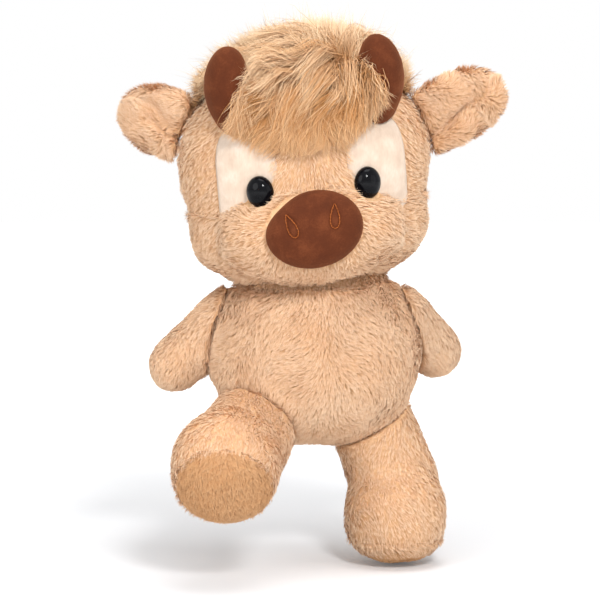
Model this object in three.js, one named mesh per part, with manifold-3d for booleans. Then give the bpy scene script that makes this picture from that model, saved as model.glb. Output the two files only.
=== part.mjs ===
// A plush cow, sewn and stuffed, standing on one leg with the other leg lifted in front.
// Millimetres, +Z up. The toy faces -Y. Left and right are as seen from the front, so right is +X.
// Every soft form is the outside of the plush with its pile, and the stuffing fills the skins.
import * as THREE from 'three';
import { mergeVertices } from 'three/addons/utils/BufferGeometryUtils.js';
import Module from 'manifold-3d';

const wasm = await Module();
wasm.setup();

// Cloth and clearances
const PLUSH = 3;              // plush cloth, its pile pressed down
const SEAM_GAP = 0.3;         // between pieces that are sewn or stuffed together
const SWING_GAP = 0.35;       // between pieces that move against each other
const OVERRUN = 40;           // how far a cutting form runs past what it cuts
const WELD = 1e-4;            // vertices closer than this are one

// Torso
const TORSO_WIDTH = 128;
const TORSO_DEPTH = 104;
const TORSO_RISE = 70;        // from its widest level to its top, inside the neck
const BELLY_HEIGHT = 123.5;   // its widest level above the floor
const NECK_ROOM = 2;          // the torso's stuffing ends this far below the chin

// Head, measured from the middle of the cheeks at their widest level
const HEAD_HEIGHT = 204.5;
const HEAD_SIDE = -3.5;
const CHEEK_WIDTH = 148;
const CHEEK_DEPTH = 120;
const CHEEK_DROP = 37;
const CHEEK_RISE = 54;
const CHEEK_FULL = 2.25;      // fullness: 2 is round, more is boxier
const CROWN_WIDTH = 154;
const CROWN_DEPTH = 128;
const CROWN_LIFT = 36;        // the crown's widest level above the cheeks'
const CROWN_RISE = 67;
const CROWN_DROP = 70;
const SNOUT_WIDTH = 116;
const SNOUT_HEIGHT = 62;
const SNOUT_DEPTH = 84;
const SNOUT_REACH = 80;       // the snout's front ahead of the head's middle
const SNOUT_DROP = 3;

// Nose and its stitched nostrils
const NOSE_WIDTH = 56;
const NOSE_HEIGHT = 44;
const NOSE_BULGE = 5;         // how far the nose stands in front of the snout
const NOSE_DEPTH = 24;
const NOSTRIL_SPREAD = 12.6;
const NOSTRIL_LIFT = 5;
const NOSTRIL_WIDTH = 7;
const NOSTRIL_HEIGHT = 14;
const THREAD = 1.2;

// Eyes: a domed oval with a shank through the patch, held by a washer in the stuffing
const BROW_SIDE = 2.5;        // eyes, patches, horns and forelock sit this far to the right
const EYE_SPREAD = 31;
const EYE_LIFT = 23;
const EYE_WIDTH = 16;
const EYE_HEIGHT = 19;
const EYE_DOME = 6;
const SHANK_DIAMETER = 4;
const SHANK_LENGTH = 15;
const WASHER_DIAMETER = 13;
const WASHER_THICKNESS = 1.6;

// Cream patches round the eyes
const PATCH_INNER = 20;       // inner edge from the brow's middle
const PATCH_OUTER = 55;
const PATCH_TOP = 61;         // top above the cheeks' level
const PATCH_CORNER = 12;

// Horns, measured along their bent axis
const HORN_SPREAD = 39;
const HORN_LIFT = 71;
const HORN_BASE = 31;
const HORN_LENGTH = 40;
const HORN_SUNK = 14;
const HORN_BLUNT = 0.8;       // the taper's power: less than 1 is blunter

// Forelock of long pile: a cap behind and between the horns, and a fringe over the brow
const CAP_WIDTH = 132;
const CAP_DEPTH = 104;
const CAP_RISE = 38;
const CAP_LIFT = 83;
const FRINGE_WIDTH = 92;
const FRINGE_DEPTH = 36;
const FRINGE_HEIGHT = 66;
const FRINGE_LIFT = 76;

// Ears
const EAR_LENGTH = 55;        // from the sewn root to the tip
const EAR_BREADTH = 42;
const EAR_THICKNESS = 15;
const EAR_FULL = 2.3;
const EAR_ROOT_IN = 20;       // how far the ear's form reaches into the crown before it is cut
const EAR_LEFT_SPREAD = 64;   // each root from the brow's middle, and above the cheeks' level
const EAR_LEFT_LEVEL = 61;
const EAR_RIGHT_SPREAD = 71;
const EAR_RIGHT_LEVEL = 54;
const CREASE_WIDTH = 5;
const CREASE_DEPTH = 5;
const creaseShares = { along: 0.28, down: 0.12 };  // of the ear's length and breadth

// Arms
const SHOULDER_SPREAD = 51;
const SHOULDER_HEIGHT = 152;
const ARM_ROOT = 35;          // diameter at the shoulder
const ARM_HAND = 35;          // diameter at the hand
const ARM_LENGTH = 45;        // from the shoulder to the middle of the hand

// Legs
const HIP_SPREAD = 19.5;
const LEG_ROOT = 51;
const LEG_ANKLE = 58;
const LEG_LENGTH = 82;        // from the hip to the middle of the ankle
const THIGH_BACK = 11;        // the thigh's axis behind the hip
const FOOT_WIDTH = 66;
const FOOT_LENGTH = 68;
const FOOT_HEIGHT = 62;
const FOOT_FULL = 2.4;
const FOOT_FORWARD = 1;       // the foot's middle ahead of the hip
const FOOT_LEFT_OUT = 32;     // each foot's middle outside its hip
const FOOT_RIGHT_OUT = 29;
const SOLE_FLAT = 0.5;        // depth of the flat that the toy stands on
const SOLE_RISE = 16;         // the sole's seam above the floor

// Tail
const TAIL_OUT = 4;           // its axis behind the torso's widest level
const TAIL_DIAMETER = 9;
const TAIL_LENGTH = 27;
const TUFT_DIAMETER = 19;
const TUFT_LENGTH = 28;

// Angles, in degrees
const HEAD_ROLL_ANGLE = 5;    // the head leans, its right side up
const HEAD_TURN_ANGLE = 2;    // the head turns to the right
const NOSE_TILT_ANGLE = 8;
const NOSTRIL_LEAN_ANGLE = 12;
const HORN_LEAN_ANGLE = 30;   // outwards at the base
const HORN_PITCH_ANGLE = 24;  // forwards
const HORN_BEND_ANGLE = 62;   // back inwards at the tip
const TOE_OUT_ANGLE = 24;
const CREASE_ANGLE = 18;      // the ear's crease climbs towards the tip
const SWEEP_ANGLE = 15;       // steps at which a swinging piece is cut clear

// Angles at which a body rests, and between which it swings, from straight down or facing ahead
const NECK_ANGLES = { low: -30, high: 30 };
const ARM_ANGLES = {
  left: { rest: 0, low: -45, high: 60, splay: 46 },
  right: { rest: -42, low: -45, high: 60, splay: 37 },
};
const LEG_ANGLES = {
  left: { rest: 54, low: -30, high: 72, splay: 20 },
  right: { rest: 0, low: -30, high: 72, splay: 21 },
};
const EAR_ANGLES = {
  left: { low: -15, high: 15, lift: 20, sweptBack: 28 },
  right: { low: -15, high: 15, lift: 22, sweptBack: 8 },
};
const TAIL_ANGLES = { low: 0, high: 60 };

// What each side has of its own
const SIDES = {
  left: { side: -1, earSpread: EAR_LEFT_SPREAD, earLevel: EAR_LEFT_LEVEL, footOut: FOOT_LEFT_OUT },
  right: { side: 1, earSpread: EAR_RIGHT_SPREAD, earLevel: EAR_RIGHT_LEVEL, footOut: FOOT_RIGHT_OUT },
};

// Facets round and down each kind of form
const FINE = [24, 13];
const COARSE = [16, 8];
const SMALL = [12, 6];
const LIMB = [16, 9];
const CORE = [10, 6];
const ARC_STEPS = 4;
const THREAD_SIDES = 6;
const THREAD_STEPS = 12;

const X = new THREE.Vector3(1, 0, 0);
const Y = new THREE.Vector3(0, 1, 0);
const Z = new THREE.Vector3(0, 0, 1);
const radians = THREE.MathUtils.degToRad;

/** The placement that moves to a point. */
function shift(x, y, z) {
  return new THREE.Matrix4().makeTranslation(x, y, z);
}

/** The placement that turns about an axis through the origin. */
function turn(axis, degrees) {
  return new THREE.Matrix4().makeRotationAxis(axis.clone().normalize(), radians(degrees));
}

/** Placements one inside another, the outermost first. */
function chain(...placements) {
  return placements.reduce((all, next) => all.multiply(next), new THREE.Matrix4());
}

/** A closed mesh as a solid: corners welded, slivers at the poles left out, faces pointing out. */
function solid(geometry, placement = new THREE.Matrix4()) {
  const bare = geometry.clone().applyMatrix4(placement);
  bare.deleteAttribute('normal');
  bare.deleteAttribute('uv');
  const mesh = mergeVertices(bare, WELD);
  const points = mesh.attributes.position.array;
  const corners = [];
  let volume = 0;
  const [a, b, c] = [new THREE.Vector3(), new THREE.Vector3(), new THREE.Vector3()];
  for (let i = 0; i < mesh.index.count; i += 3) {
    const [p, q, r] = mesh.index.array.slice(i, i + 3);
    if (p === q || q === r || r === p) continue;
    corners.push(p, q, r);
    const normal = b.fromArray(points, q * 3).cross(c.fromArray(points, r * 3));
    volume += a.fromArray(points, p * 3).dot(normal);
  }
  if (volume < 0) corners.reverse();
  return new wasm.Manifold(new wasm.Mesh({
    numProp: 3,
    vertProperties: Float32Array.from(points),
    triVerts: Uint32Array.from(corners),
  }));
}

/** A solid back as a geometry for its mesh. */
function geometryOf(body) {
  const { vertProperties, triVerts } = body.getMesh();
  const geometry = new THREE.BufferGeometry();
  geometry.setAttribute('position', new THREE.BufferAttribute(vertProperties, 3));
  geometry.setIndex(new THREE.BufferAttribute(triVerts, 1));
  geometry.computeVertexNormals();
  return geometry;
}

/** A stuffed form: a ball with its own width, depth, rise and drop, fuller than round where asked. */
function egg({ width, depth, rise, drop = rise, full = 2, facets = FINE, poles = X }, grow = 0) {
  const ball = new THREE.SphereGeometry(1, ...facets);
  if (poles === X) ball.rotateZ(Math.PI / 2);
  else ball.rotateX(Math.PI / 2);
  const at = ball.attributes.position;
  for (let i = 0; i < at.count; i += 1) {
    const [x, y, z] = [at.getX(i), at.getY(i), at.getZ(i)];
    const round = Math.hypot(x, y);
    const swell = round > 0 ? round ** (2 / full) / round : 1;
    const height = Math.sign(z) * Math.abs(z) ** (2 / full);
    const reach = z > 0 ? rise : drop;
    const [across, along] = [swell * (width / 2 + grow), swell * (depth / 2 + grow)];
    at.setXYZ(i, x * across, y * along, height * (reach + grow));
  }
  return ball;
}

/** The room that a form needs as it turns: clear of the corners between its facets. */
function room(size, placement, facets = FINE) {
  const outside = 1 / Math.cos(Math.PI / facets[0]);
  return solid(egg({ ...size, facets }, SWING_GAP).scale(outside, outside, outside), placement);
}

/** A limb down -Z from its pivot: round at both ends, tapering evenly between them. */
function limb({ root, end, length, sides }, grow = 0) {
  const [top, bottom] = [root / 2 + grow, end / 2 + grow];
  const tangent = Math.acos((bottom - top) / length);
  const points = [];
  for (let i = 0; i <= ARC_STEPS; i += 1) {
    const angle = Math.PI - ((Math.PI - tangent) * i) / ARC_STEPS;
    points.push(new THREE.Vector2(bottom * Math.sin(angle), bottom * Math.cos(angle) - length));
  }
  for (let i = 0; i <= ARC_STEPS; i += 1) {
    const angle = tangent - (tangent * i) / ARC_STEPS;
    points.push(new THREE.Vector2(top * Math.sin(angle), top * Math.cos(angle)));
  }
  points[0].x = 0;
  points[points.length - 1].x = 0;
  return new THREE.LatheGeometry(points, sides).rotateX(Math.PI / 2);
}

/** A box whose top is at z = 0, wide enough to cut all that lies below. */
function below(reach) {
  return new THREE.BoxGeometry(2 * reach, 2 * reach, reach).translate(0, 0, -reach / 2);
}

/** The angles at which a swinging piece is cut clear, from one limit to the other. */
function sweep({ low, high }) {
  const count = Math.ceil((high - low) / SWEEP_ANGLE);
  return Array.from({ length: count + 1 }, (_, i) => low + ((high - low) * i) / count);
}

const FINISH = {
  plush: { color: 0xdcb588, roughness: 0.95 },
  sole: { color: 0xd1a273, roughness: 0.95 },
  velboa: { color: 0xf6e6d2, roughness: 0.9 },
  suede: { color: 0x6b3a22, roughness: 0.9 },
  longPile: { color: 0xe0b98a, roughness: 0.9 },
  eye: { color: 0x0b0908, roughness: 0.08 },
  washer: { color: 0xe8e8e4, roughness: 0.5 },
  thread: { color: 0xa8562a, roughness: 0.7 },
  stuffing: { color: 0xf4f2ee, roughness: 1 },
};

/** A named piece of the toy in its body's group. */
function piece(group, name, body, finish) {
  const material = new THREE.MeshStandardMaterial({ metalness: 0, ...finish });
  const mesh = new THREE.Mesh(geometryOf(body), material);
  mesh.name = name;
  group.add(mesh);
}

/** A body's group, placed in the toy. */
function bodyGroup(placement, parent) {
  const group = new THREE.Group();
  group.applyMatrix4(placement);
  parent.add(group);
  return group;
}

// Head forms, in the head's own frame
const crownSize = { width: CROWN_WIDTH, depth: CROWN_DEPTH, rise: CROWN_RISE, drop: CROWN_DROP, poles: Z };
const cheekSize = {
  width: CHEEK_WIDTH, depth: CHEEK_DEPTH, rise: CHEEK_RISE, drop: CHEEK_DROP, full: CHEEK_FULL, poles: Z,
};
const snoutSize = {
  width: SNOUT_WIDTH, depth: SNOUT_DEPTH, rise: SNOUT_HEIGHT / 2, facets: COARSE, poles: X,
};
const capSize = { width: CAP_WIDTH, depth: CAP_DEPTH, rise: CAP_RISE, facets: COARSE, poles: Z };
const crownAt = shift(0, 0, CROWN_LIFT);
const snoutAt = shift(0, SNOUT_DEPTH / 2 - SNOUT_REACH, -SNOUT_DROP);

function crown(grow, facets) {
  return solid(egg({ ...crownSize, facets }, grow), crownAt);
}

function cheeks(grow, facets) {
  return solid(egg({ ...cheekSize, facets }, grow)).add(solid(egg(snoutSize, grow), snoutAt));
}

/** How far forward the crown's surface is at a place on the brow, and which way it faces there. */
function onCrown(x, z) {
  const [a, b] = [CROWN_WIDTH / 2, CROWN_DEPTH / 2];
  const c = z > CROWN_LIFT ? CROWN_RISE : CROWN_DROP;
  const up = z - CROWN_LIFT;
  const y = -b * Math.sqrt(1 - (x / a) ** 2 - (up / c) ** 2);
  const normal = new THREE.Vector3(x / a ** 2, y / b ** 2, up / c ** 2).normalize();
  return { point: new THREE.Vector3(x, y, z), normal };
}

/** The placement at a place on the brow whose +Z points straight out of the crown. */
function onBrow(x, z) {
  const { point, normal } = onCrown(x, z);
  const across = Z.clone().cross(normal).normalize();
  const up = normal.clone().cross(across);
  return new THREE.Matrix4().makeBasis(across, up, normal).setPosition(point);
}

/** The outline of an eye patch: level at the cheek seam, upright inside, rounded over outside. */
function patchOutline(side, grow) {
  const inner = PATCH_INNER - grow;
  const outer = PATCH_OUTER + grow;
  const top = PATCH_TOP + grow;
  const waist = CROWN_LIFT;
  const outline = new THREE.Shape();
  outline.moveTo(side * inner, -CHEEK_DROP);
  outline.lineTo(side * outer, -CHEEK_DROP);
  outline.lineTo(side * outer, waist);
  outline.quadraticCurveTo(side * outer, top, side * (outer - PATCH_CORNER), top);
  outline.lineTo(side * (inner + PATCH_CORNER), top);
  outline.quadraticCurveTo(side * inner, top, side * inner, waist);
  return outline;
}

/** The prism that cuts an eye patch out of the front of the crown. */
function patchPrism(side, grow) {
  const prism = new THREE.ExtrudeGeometry(patchOutline(side, grow), {
    depth: CROWN_DEPTH, bevelEnabled: false, curveSegments: ARC_STEPS,
  });
  return solid(prism, chain(shift(BROW_SIDE, 0, 0), turn(X, 90)));
}

/** A rod or disc along +Z between two heights. */
function disc(diameter, low, high) {
  const rod = new THREE.CylinderGeometry(diameter / 2, diameter / 2, high - low, SMALL[0]);
  return rod.rotateX(Math.PI / 2).translate(0, 0, (low + high) / 2);
}

/** A horn up +Z from its seat, bent towards the middle of the head. */
function horn(side, grow = 0) {
  const base = HORN_BASE / 2 + grow;
  const points = [new THREE.Vector2(0, -HORN_SUNK), new THREE.Vector2(base, -HORN_SUNK)];
  const steps = 2 * ARC_STEPS;
  for (let i = 0; i <= steps; i += 1) {
    const angle = (Math.PI / 2) * (i / steps);
    const out = base * Math.cos(angle) ** HORN_BLUNT;
    points.push(new THREE.Vector2(out, (HORN_LENGTH + grow) * Math.sin(angle)));
  }
  points[points.length - 1].x = 0;
  const form = new THREE.LatheGeometry(points, LIMB[0]).rotateX(Math.PI / 2);
  const bend = HORN_LENGTH / radians(HORN_BEND_ANGLE);
  const at = form.attributes.position;
  for (let i = 0; i < at.count; i += 1) {
    const angle = Math.max(at.getZ(i), 0) / bend;
    const inward = bend + side * at.getX(i);
    const along = Math.min(at.getZ(i), 0) + inward * Math.sin(angle);
    at.setXYZ(i, side * (inward * Math.cos(angle) - bend), at.getY(i), along);
  }
  return form;
}

/** Where a horn is seated on the brow. */
function hornSeat(side) {
  const { point } = onCrown(BROW_SIDE + side * HORN_SPREAD, HORN_LIFT);
  return chain(shift(...point.toArray()), turn(X, HORN_PITCH_ANGLE), turn(Y, side * HORN_LEAN_ANGLE));
}

/** A teardrop of thread on the nose, point up. */
function nostril(side, diameter) {
  const [a, b, c] = [NOSE_WIDTH / 2, NOSE_DEPTH / 2, NOSE_HEIGHT / 2];
  const lean = radians(NOSTRIL_LEAN_ANGLE);
  const points = Array.from({ length: THREAD_STEPS }, (_, i) => {
    const angle = 2 * Math.PI * (i / THREAD_STEPS);
    const across = (NOSTRIL_WIDTH / 2) * Math.sin(angle) * Math.sin(angle / 2);
    const up = (NOSTRIL_HEIGHT / 2) * Math.cos(angle);
    const x = side * (NOSTRIL_SPREAD + up * Math.sin(lean)) + across * Math.cos(lean);
    const z = NOSTRIL_LIFT + up * Math.cos(lean) - side * across * Math.sin(lean);
    return new THREE.Vector3(x, -b * Math.sqrt(1 - (x / a) ** 2 - (z / c) ** 2), z);
  });
  const path = new THREE.CatmullRomCurve3(points, true);
  return new THREE.TubeGeometry(path, THREAD_STEPS, diameter / 2, THREAD_SIDES, true);
}

/** An ear along its side's X from the sewn root: a flat leaf with a fold creased into its front. */
function ear(side) {
  const length = EAR_LENGTH + EAR_ROOT_IN;
  const middle = side * (EAR_LENGTH - length / 2);
  const leaf = solid(
    egg({
      width: length, depth: EAR_THICKNESS, rise: EAR_BREADTH / 2, full: EAR_FULL, facets: LIMB, poles: Z,
    }),
    shift(middle, 0, 0),
  );
  const groove = egg({
    width: EAR_LENGTH, depth: 2 * CREASE_DEPTH, rise: CREASE_WIDTH / 2, facets: SMALL,
  });
  const place = chain(
    shift(side * EAR_LENGTH * creaseShares.along, -EAR_THICKNESS / 2, -EAR_BREADTH * creaseShares.down),
    turn(Y, -side * CREASE_ANGLE),
  );
  return leaf.subtract(solid(groove, place));
}

/** A leg down -Z from its hip, with its foot flat to the floor when the leg hangs straight. */
function leg({ side, footOut, splay }, grow, facets) {
  const thigh = limb({ root: LEG_ROOT, end: LEG_ANKLE, length: LEG_LENGTH, sides: facets[0] }, grow);
  const foot = egg({
    width: FOOT_WIDTH, depth: FOOT_LENGTH, rise: FOOT_HEIGHT / 2, full: FOOT_FULL, facets, poles: Z,
  }, grow);
  const thighAt = chain(shift(0, THIGH_BACK, 0), turn(Y, -side * splay));
  const footAt = chain(
    shift(side * footOut, -FOOT_FORWARD, FOOT_HEIGHT / 2 - SOLE_FLAT - BELLY_HEIGHT),
    turn(Z, side * TOE_OUT_ANGLE),
  );
  return solid(thigh, thighAt).add(solid(foot, footAt));
}

const toy = new THREE.Group();
const torsoAt = shift(0, 0, BELLY_HEIGHT);
const headRest = chain(
  shift(HEAD_SIDE, 0, HEAD_HEIGHT), turn(Y, -HEAD_ROLL_ANGLE), turn(Z, HEAD_TURN_ANGLE),
);
const torsoSize = { width: TORSO_WIDTH, depth: TORSO_DEPTH, rise: TORSO_RISE, drop: TORSO_DEPTH / 2 };

/** A torso form with the head's reach cut out of its top, at every turn of the neck. */
function belowHead(body) {
  return sweep(NECK_ANGLES).reduce((left, angle) => {
    const neck = chain(shift(HEAD_SIDE, 0, -BELLY_HEIGHT), turn(Z, angle), shift(-HEAD_SIDE, 0, 0));
    const headAt = chain(neck, headRest);
    return left.subtract(room(cheekSize, headAt)).subtract(room(snoutSize, chain(headAt, snoutAt)));
  }, body);
}

function torso(grow, facets) {
  return solid(egg({ ...torsoSize, facets }, grow));
}

/** A skin: what lies between an outer form and the plainer room for its stuffing. */
function skin(form, outer = FINE, inner = COARSE) {
  return form(0, outer).subtract(form(-PLUSH, inner));
}

function addTorso() {
  const group = bodyGroup(torsoAt, toy);
  const neckLevel = HEAD_HEIGHT - CHEEK_DROP - NECK_ROOM - BELLY_HEIGHT;
  const stuffing = torso(-PLUSH - SEAM_GAP, COARSE)
    .intersect(solid(below(2 * OVERRUN), shift(0, 0, neckLevel)));
  piece(group, 'torso_skin', belowHead(skin(torso)), FINISH.plush);
  piece(group, 'torso_stuffing', stuffing, FINISH.stuffing);
}

function addHead() {
  const group = bodyGroup(headRest, toy);
  const seam = cheeks(SEAM_GAP, FINE);
  let crownSkin = skin(crown).subtract(seam);
  let cheekSkin = skin(cheeks).subtract(crown(-PLUSH, COARSE));
  let stuffing = crown(-PLUSH - SEAM_GAP, COARSE).add(cheeks(-PLUSH - SEAM_GAP, COARSE));
  for (const [name, { side }] of Object.entries(SIDES)) {
    const eyeAt = onBrow(BROW_SIDE + side * EYE_SPREAD, EYE_LIFT);
    const washerTop = -PLUSH - 2 * SEAM_GAP;
    const shank = (gap) => solid(
      disc(SHANK_DIAMETER + 2 * gap, -SHANK_LENGTH - gap, EYE_DOME / 2), eyeAt,
    );
    const pocket = shank(SEAM_GAP).add(solid(
      disc(WASHER_DIAMETER + 2 * SEAM_GAP, -SHANK_LENGTH - 2 * SEAM_GAP, washerTop + SEAM_GAP), eyeAt,
    ));
    const patch = skin(crown).intersect(patchPrism(side, 0)).subtract(seam).subtract(pocket);
    piece(group, `eye_patch_${name}`, patch, FINISH.velboa);
    crownSkin = crownSkin.subtract(patchPrism(side, SEAM_GAP));
    cheekSkin = cheekSkin.subtract(pocket);
    stuffing = stuffing.subtract(pocket);

    const dome = egg({ width: EYE_WIDTH, depth: EYE_HEIGHT, rise: EYE_DOME, facets: SMALL, poles: Z });
    const eye = solid(dome, eyeAt).subtract(crown(SEAM_GAP, FINE)).subtract(seam).add(shank(0));
    piece(group, `eye_${name}`, eye, FINISH.eye);

    const washer = solid(disc(WASHER_DIAMETER, washerTop - WASHER_THICKNESS, washerTop), eyeAt);
    piece(group, `eye_washer_${name}`, washer.subtract(shank(SEAM_GAP)), FINISH.washer);
  }
  piece(group, 'crown_skin', crownSkin, FINISH.plush);
  piece(group, 'cheek_skin', cheekSkin, FINISH.plush);
  piece(group, 'head_stuffing', stuffing, FINISH.stuffing);
  addNose(group);
  addForelock(group);
}

function addNose(group) {
  const noseAt = chain(
    shift(0, NOSE_DEPTH / 2 - SNOUT_REACH - NOSE_BULGE, 0),
    turn(Y, -NOSE_TILT_ANGLE),
  );
  const size = { width: NOSE_WIDTH, depth: NOSE_DEPTH, rise: NOSE_HEIGHT / 2, facets: COARSE };
  let nose = solid(egg(size), noseAt).subtract(cheeks(SEAM_GAP, FINE)).subtract(crown(SEAM_GAP, FINE));
  for (const [name, { side }] of Object.entries(SIDES)) {
    nose = nose.subtract(solid(nostril(side, THREAD + 2 * SEAM_GAP), noseAt));
    piece(group, `nostril_${name}`, solid(nostril(side, THREAD), noseAt), FINISH.thread);
  }
  piece(group, 'nose_pad', nose, FINISH.suede);
}

function addForelock(group) {
  const fringe = egg({
    width: FRINGE_WIDTH, depth: FRINGE_DEPTH, rise: FRINGE_HEIGHT / 2, facets: COARSE,
  });
  const { point } = onCrown(0, FRINGE_LIFT);
  let forelock = solid(egg(capSize), shift(BROW_SIDE, 0, CAP_LIFT));
  forelock = forelock.add(solid(fringe, shift(BROW_SIDE, point.y, FRINGE_LIFT)));
  forelock = forelock.subtract(crown(SEAM_GAP, FINE));
  for (const [name, { side }] of Object.entries(SIDES)) {
    const body = solid(horn(side), hornSeat(side)).subtract(crown(SEAM_GAP, FINE));
    piece(group, `horn_${name}`, body, FINISH.suede);
    forelock = forelock.subtract(solid(horn(side, SEAM_GAP), hornSeat(side)));
  }
  piece(group, 'forelock', forelock, FINISH.longPile);
}

function addEar(name, { side, earSpread, earLevel }) {
  const { lift, sweptBack, ...range } = EAR_ANGLES[name];
  const pivot = shift(BROW_SIDE + side * earSpread, 0, earLevel);
  const set = chain(turn(Z, side * sweptBack), turn(Y, -side * lift));
  const group = bodyGroup(chain(headRest, pivot, set), toy);
  let body = ear(side);
  for (const angle of sweep(range)) {
    const back = chain(pivot, turn(Z, side * angle), set).invert();
    body = body.subtract(room(crownSize, chain(back, crownAt)));
    body = body.subtract(room(capSize, chain(back, shift(BROW_SIDE, 0, CAP_LIFT))));
  }
  piece(group, `ear_${name}`, body, FINISH.plush);
}

/** The axis that an arm swings forward about: square to the torso where the arm is sewn. */
function shoulderAxis(side) {
  const out = SHOULDER_SPREAD / (TORSO_WIDTH / 2) ** 2;
  const up = (SHOULDER_HEIGHT - BELLY_HEIGHT) / TORSO_RISE ** 2;
  return new THREE.Vector3(-out, 0, -side * up).normalize();
}

function addArm(name, { side }) {
  const { rest, splay, ...range } = ARM_ANGLES[name];
  const pivot = shift(side * SHOULDER_SPREAD, 0, SHOULDER_HEIGHT);
  const axis = shoulderAxis(side);
  const group = bodyGroup(chain(pivot, turn(axis, rest)), toy);
  const clear = (body, facets) => sweep(range).reduce((left, angle) => {
    const back = chain(pivot, turn(axis, angle)).invert();
    return left.subtract(room(torsoSize, chain(back, torsoAt), facets));
  }, body);
  const size = { root: ARM_ROOT, end: ARM_HAND, length: ARM_LENGTH };
  const form = (grow, [sides]) => solid(limb({ ...size, sides }, grow), turn(Y, -side * splay));
  piece(group, `arm_${name}_skin`, clear(skin(form, LIMB, CORE), FINE), FINISH.plush);
  piece(group, `arm_${name}_stuffing`, clear(form(-PLUSH - SEAM_GAP, CORE), COARSE), FINISH.stuffing);
}

function addLeg(name, { side, footOut }) {
  const { rest, high, splay } = LEG_ANGLES[name];
  const pivot = shift(side * HIP_SPREAD, 0, BELLY_HEIGHT);
  const forward = X.clone().negate();
  const group = bodyGroup(chain(pivot, turn(forward, rest)), toy);
  const raised = [high, high - SWEEP_ANGLE].map((angle) => chain(pivot, turn(forward, angle)).invert());
  const cutters = [
    room({ ...torsoSize, rise: TORSO_DEPTH / 2 }, shift(-side * HIP_SPREAD, 0, 0)),
    ...raised.map((back) => room(torsoSize, chain(back, torsoAt))),
    solid(below(OVERRUN), shift(0, 0, -BELLY_HEIGHT)),
  ];
  const form = (grow, facets) => leg({ side, footOut, splay }, grow, facets);
  const clear = (body) => cutters.reduce((left, cutter) => left.subtract(cutter), body);
  const seam = SOLE_RISE - BELLY_HEIGHT;
  const walls = clear(skin(form, LIMB, CORE));
  const skinWalls = walls.subtract(solid(below(2 * OVERRUN), shift(0, 0, seam)));
  const soleWalls = walls.intersect(solid(below(2 * OVERRUN), shift(0, 0, seam - SEAM_GAP)));
  piece(group, `leg_${name}_skin`, skinWalls, FINISH.plush);
  piece(group, `foot_${name}_sole`, soleWalls, FINISH.sole);
  piece(group, `leg_${name}_stuffing`, clear(form(-PLUSH - SEAM_GAP, CORE)), FINISH.stuffing);
}

function addTail() {
  const pivot = shift(0, TORSO_DEPTH / 2 + TAIL_OUT, BELLY_HEIGHT);
  const group = bodyGroup(pivot, toy);
  const tuftAt = shift(0, 0, -TAIL_LENGTH - TUFT_LENGTH / 4);
  const tuft = egg({
    width: TUFT_DIAMETER, depth: TUFT_DIAMETER, rise: TUFT_LENGTH / 2, facets: SMALL, poles: Z,
  });
  let cord = solid(limb({ root: TAIL_DIAMETER, end: TAIL_DIAMETER, length: TAIL_LENGTH, sides: CORE[0] }));
  for (const angle of sweep(TAIL_ANGLES)) {
    const back = chain(pivot, turn(X, angle)).invert();
    cord = cord.subtract(room(torsoSize, chain(back, torsoAt)));
  }
  const socket = disc(TAIL_DIAMETER + 2 * SEAM_GAP, -TAIL_LENGTH - TAIL_DIAMETER / 2 - SEAM_GAP, 0);
  piece(group, 'tail', cord, FINISH.plush);
  piece(group, 'tail_tuft', solid(tuft, tuftAt).subtract(solid(socket)), FINISH.longPile);
}

addTorso();
addHead();
for (const [name, own] of Object.entries(SIDES)) {
  addEar(name, own);
  addArm(name, own);
  addLeg(name, own);
}
addTail();

// The part's origin is the middle of its box, on the floor under the standing foot
toy.updateMatrixWorld(true);
const box = new THREE.Box3().setFromObject(toy, true);
const middle = box.getCenter(new THREE.Vector3());
toy.position.set(-middle.x, -middle.y, -box.min.z);

const part = new THREE.Group();
part.add(toy);

export default part;
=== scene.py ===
import math

import bmesh
import bpy
import numpy as np
from mathutils import Matrix, Vector
from mathutils.bvhtree import BVHTree
from mathutils.kdtree import KDTree


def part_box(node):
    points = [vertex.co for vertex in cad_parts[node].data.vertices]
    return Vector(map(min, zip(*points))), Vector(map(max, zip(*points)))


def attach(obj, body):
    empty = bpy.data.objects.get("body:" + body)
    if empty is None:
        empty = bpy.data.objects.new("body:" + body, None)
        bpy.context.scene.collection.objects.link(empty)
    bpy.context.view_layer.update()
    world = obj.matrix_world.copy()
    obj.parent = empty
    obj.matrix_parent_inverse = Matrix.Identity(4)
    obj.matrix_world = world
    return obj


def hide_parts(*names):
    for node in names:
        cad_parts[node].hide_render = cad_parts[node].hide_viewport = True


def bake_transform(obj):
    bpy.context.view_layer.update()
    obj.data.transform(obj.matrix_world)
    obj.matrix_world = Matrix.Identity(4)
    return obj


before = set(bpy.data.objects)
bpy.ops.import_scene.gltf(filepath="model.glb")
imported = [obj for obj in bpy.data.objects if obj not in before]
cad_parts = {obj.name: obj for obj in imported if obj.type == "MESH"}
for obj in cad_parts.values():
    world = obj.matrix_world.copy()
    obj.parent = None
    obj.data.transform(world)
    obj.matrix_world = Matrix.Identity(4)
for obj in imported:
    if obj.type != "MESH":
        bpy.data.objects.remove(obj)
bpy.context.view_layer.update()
MM = 0.001

# Camera: level with the toy's chest, a little above, far off with a long lens
PICTURE_MIDDLE = 300
PIXEL = 0.6
SEEN_X = -7.13
SEEN_Z = 159.5
TARGET = Vector((SEEN_X, 22.09, SEEN_Z)) * MM
CAMERA_BACK = 1300 * MM
CAMERA_RISE = math.radians(4)
LENS = 130

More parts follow.
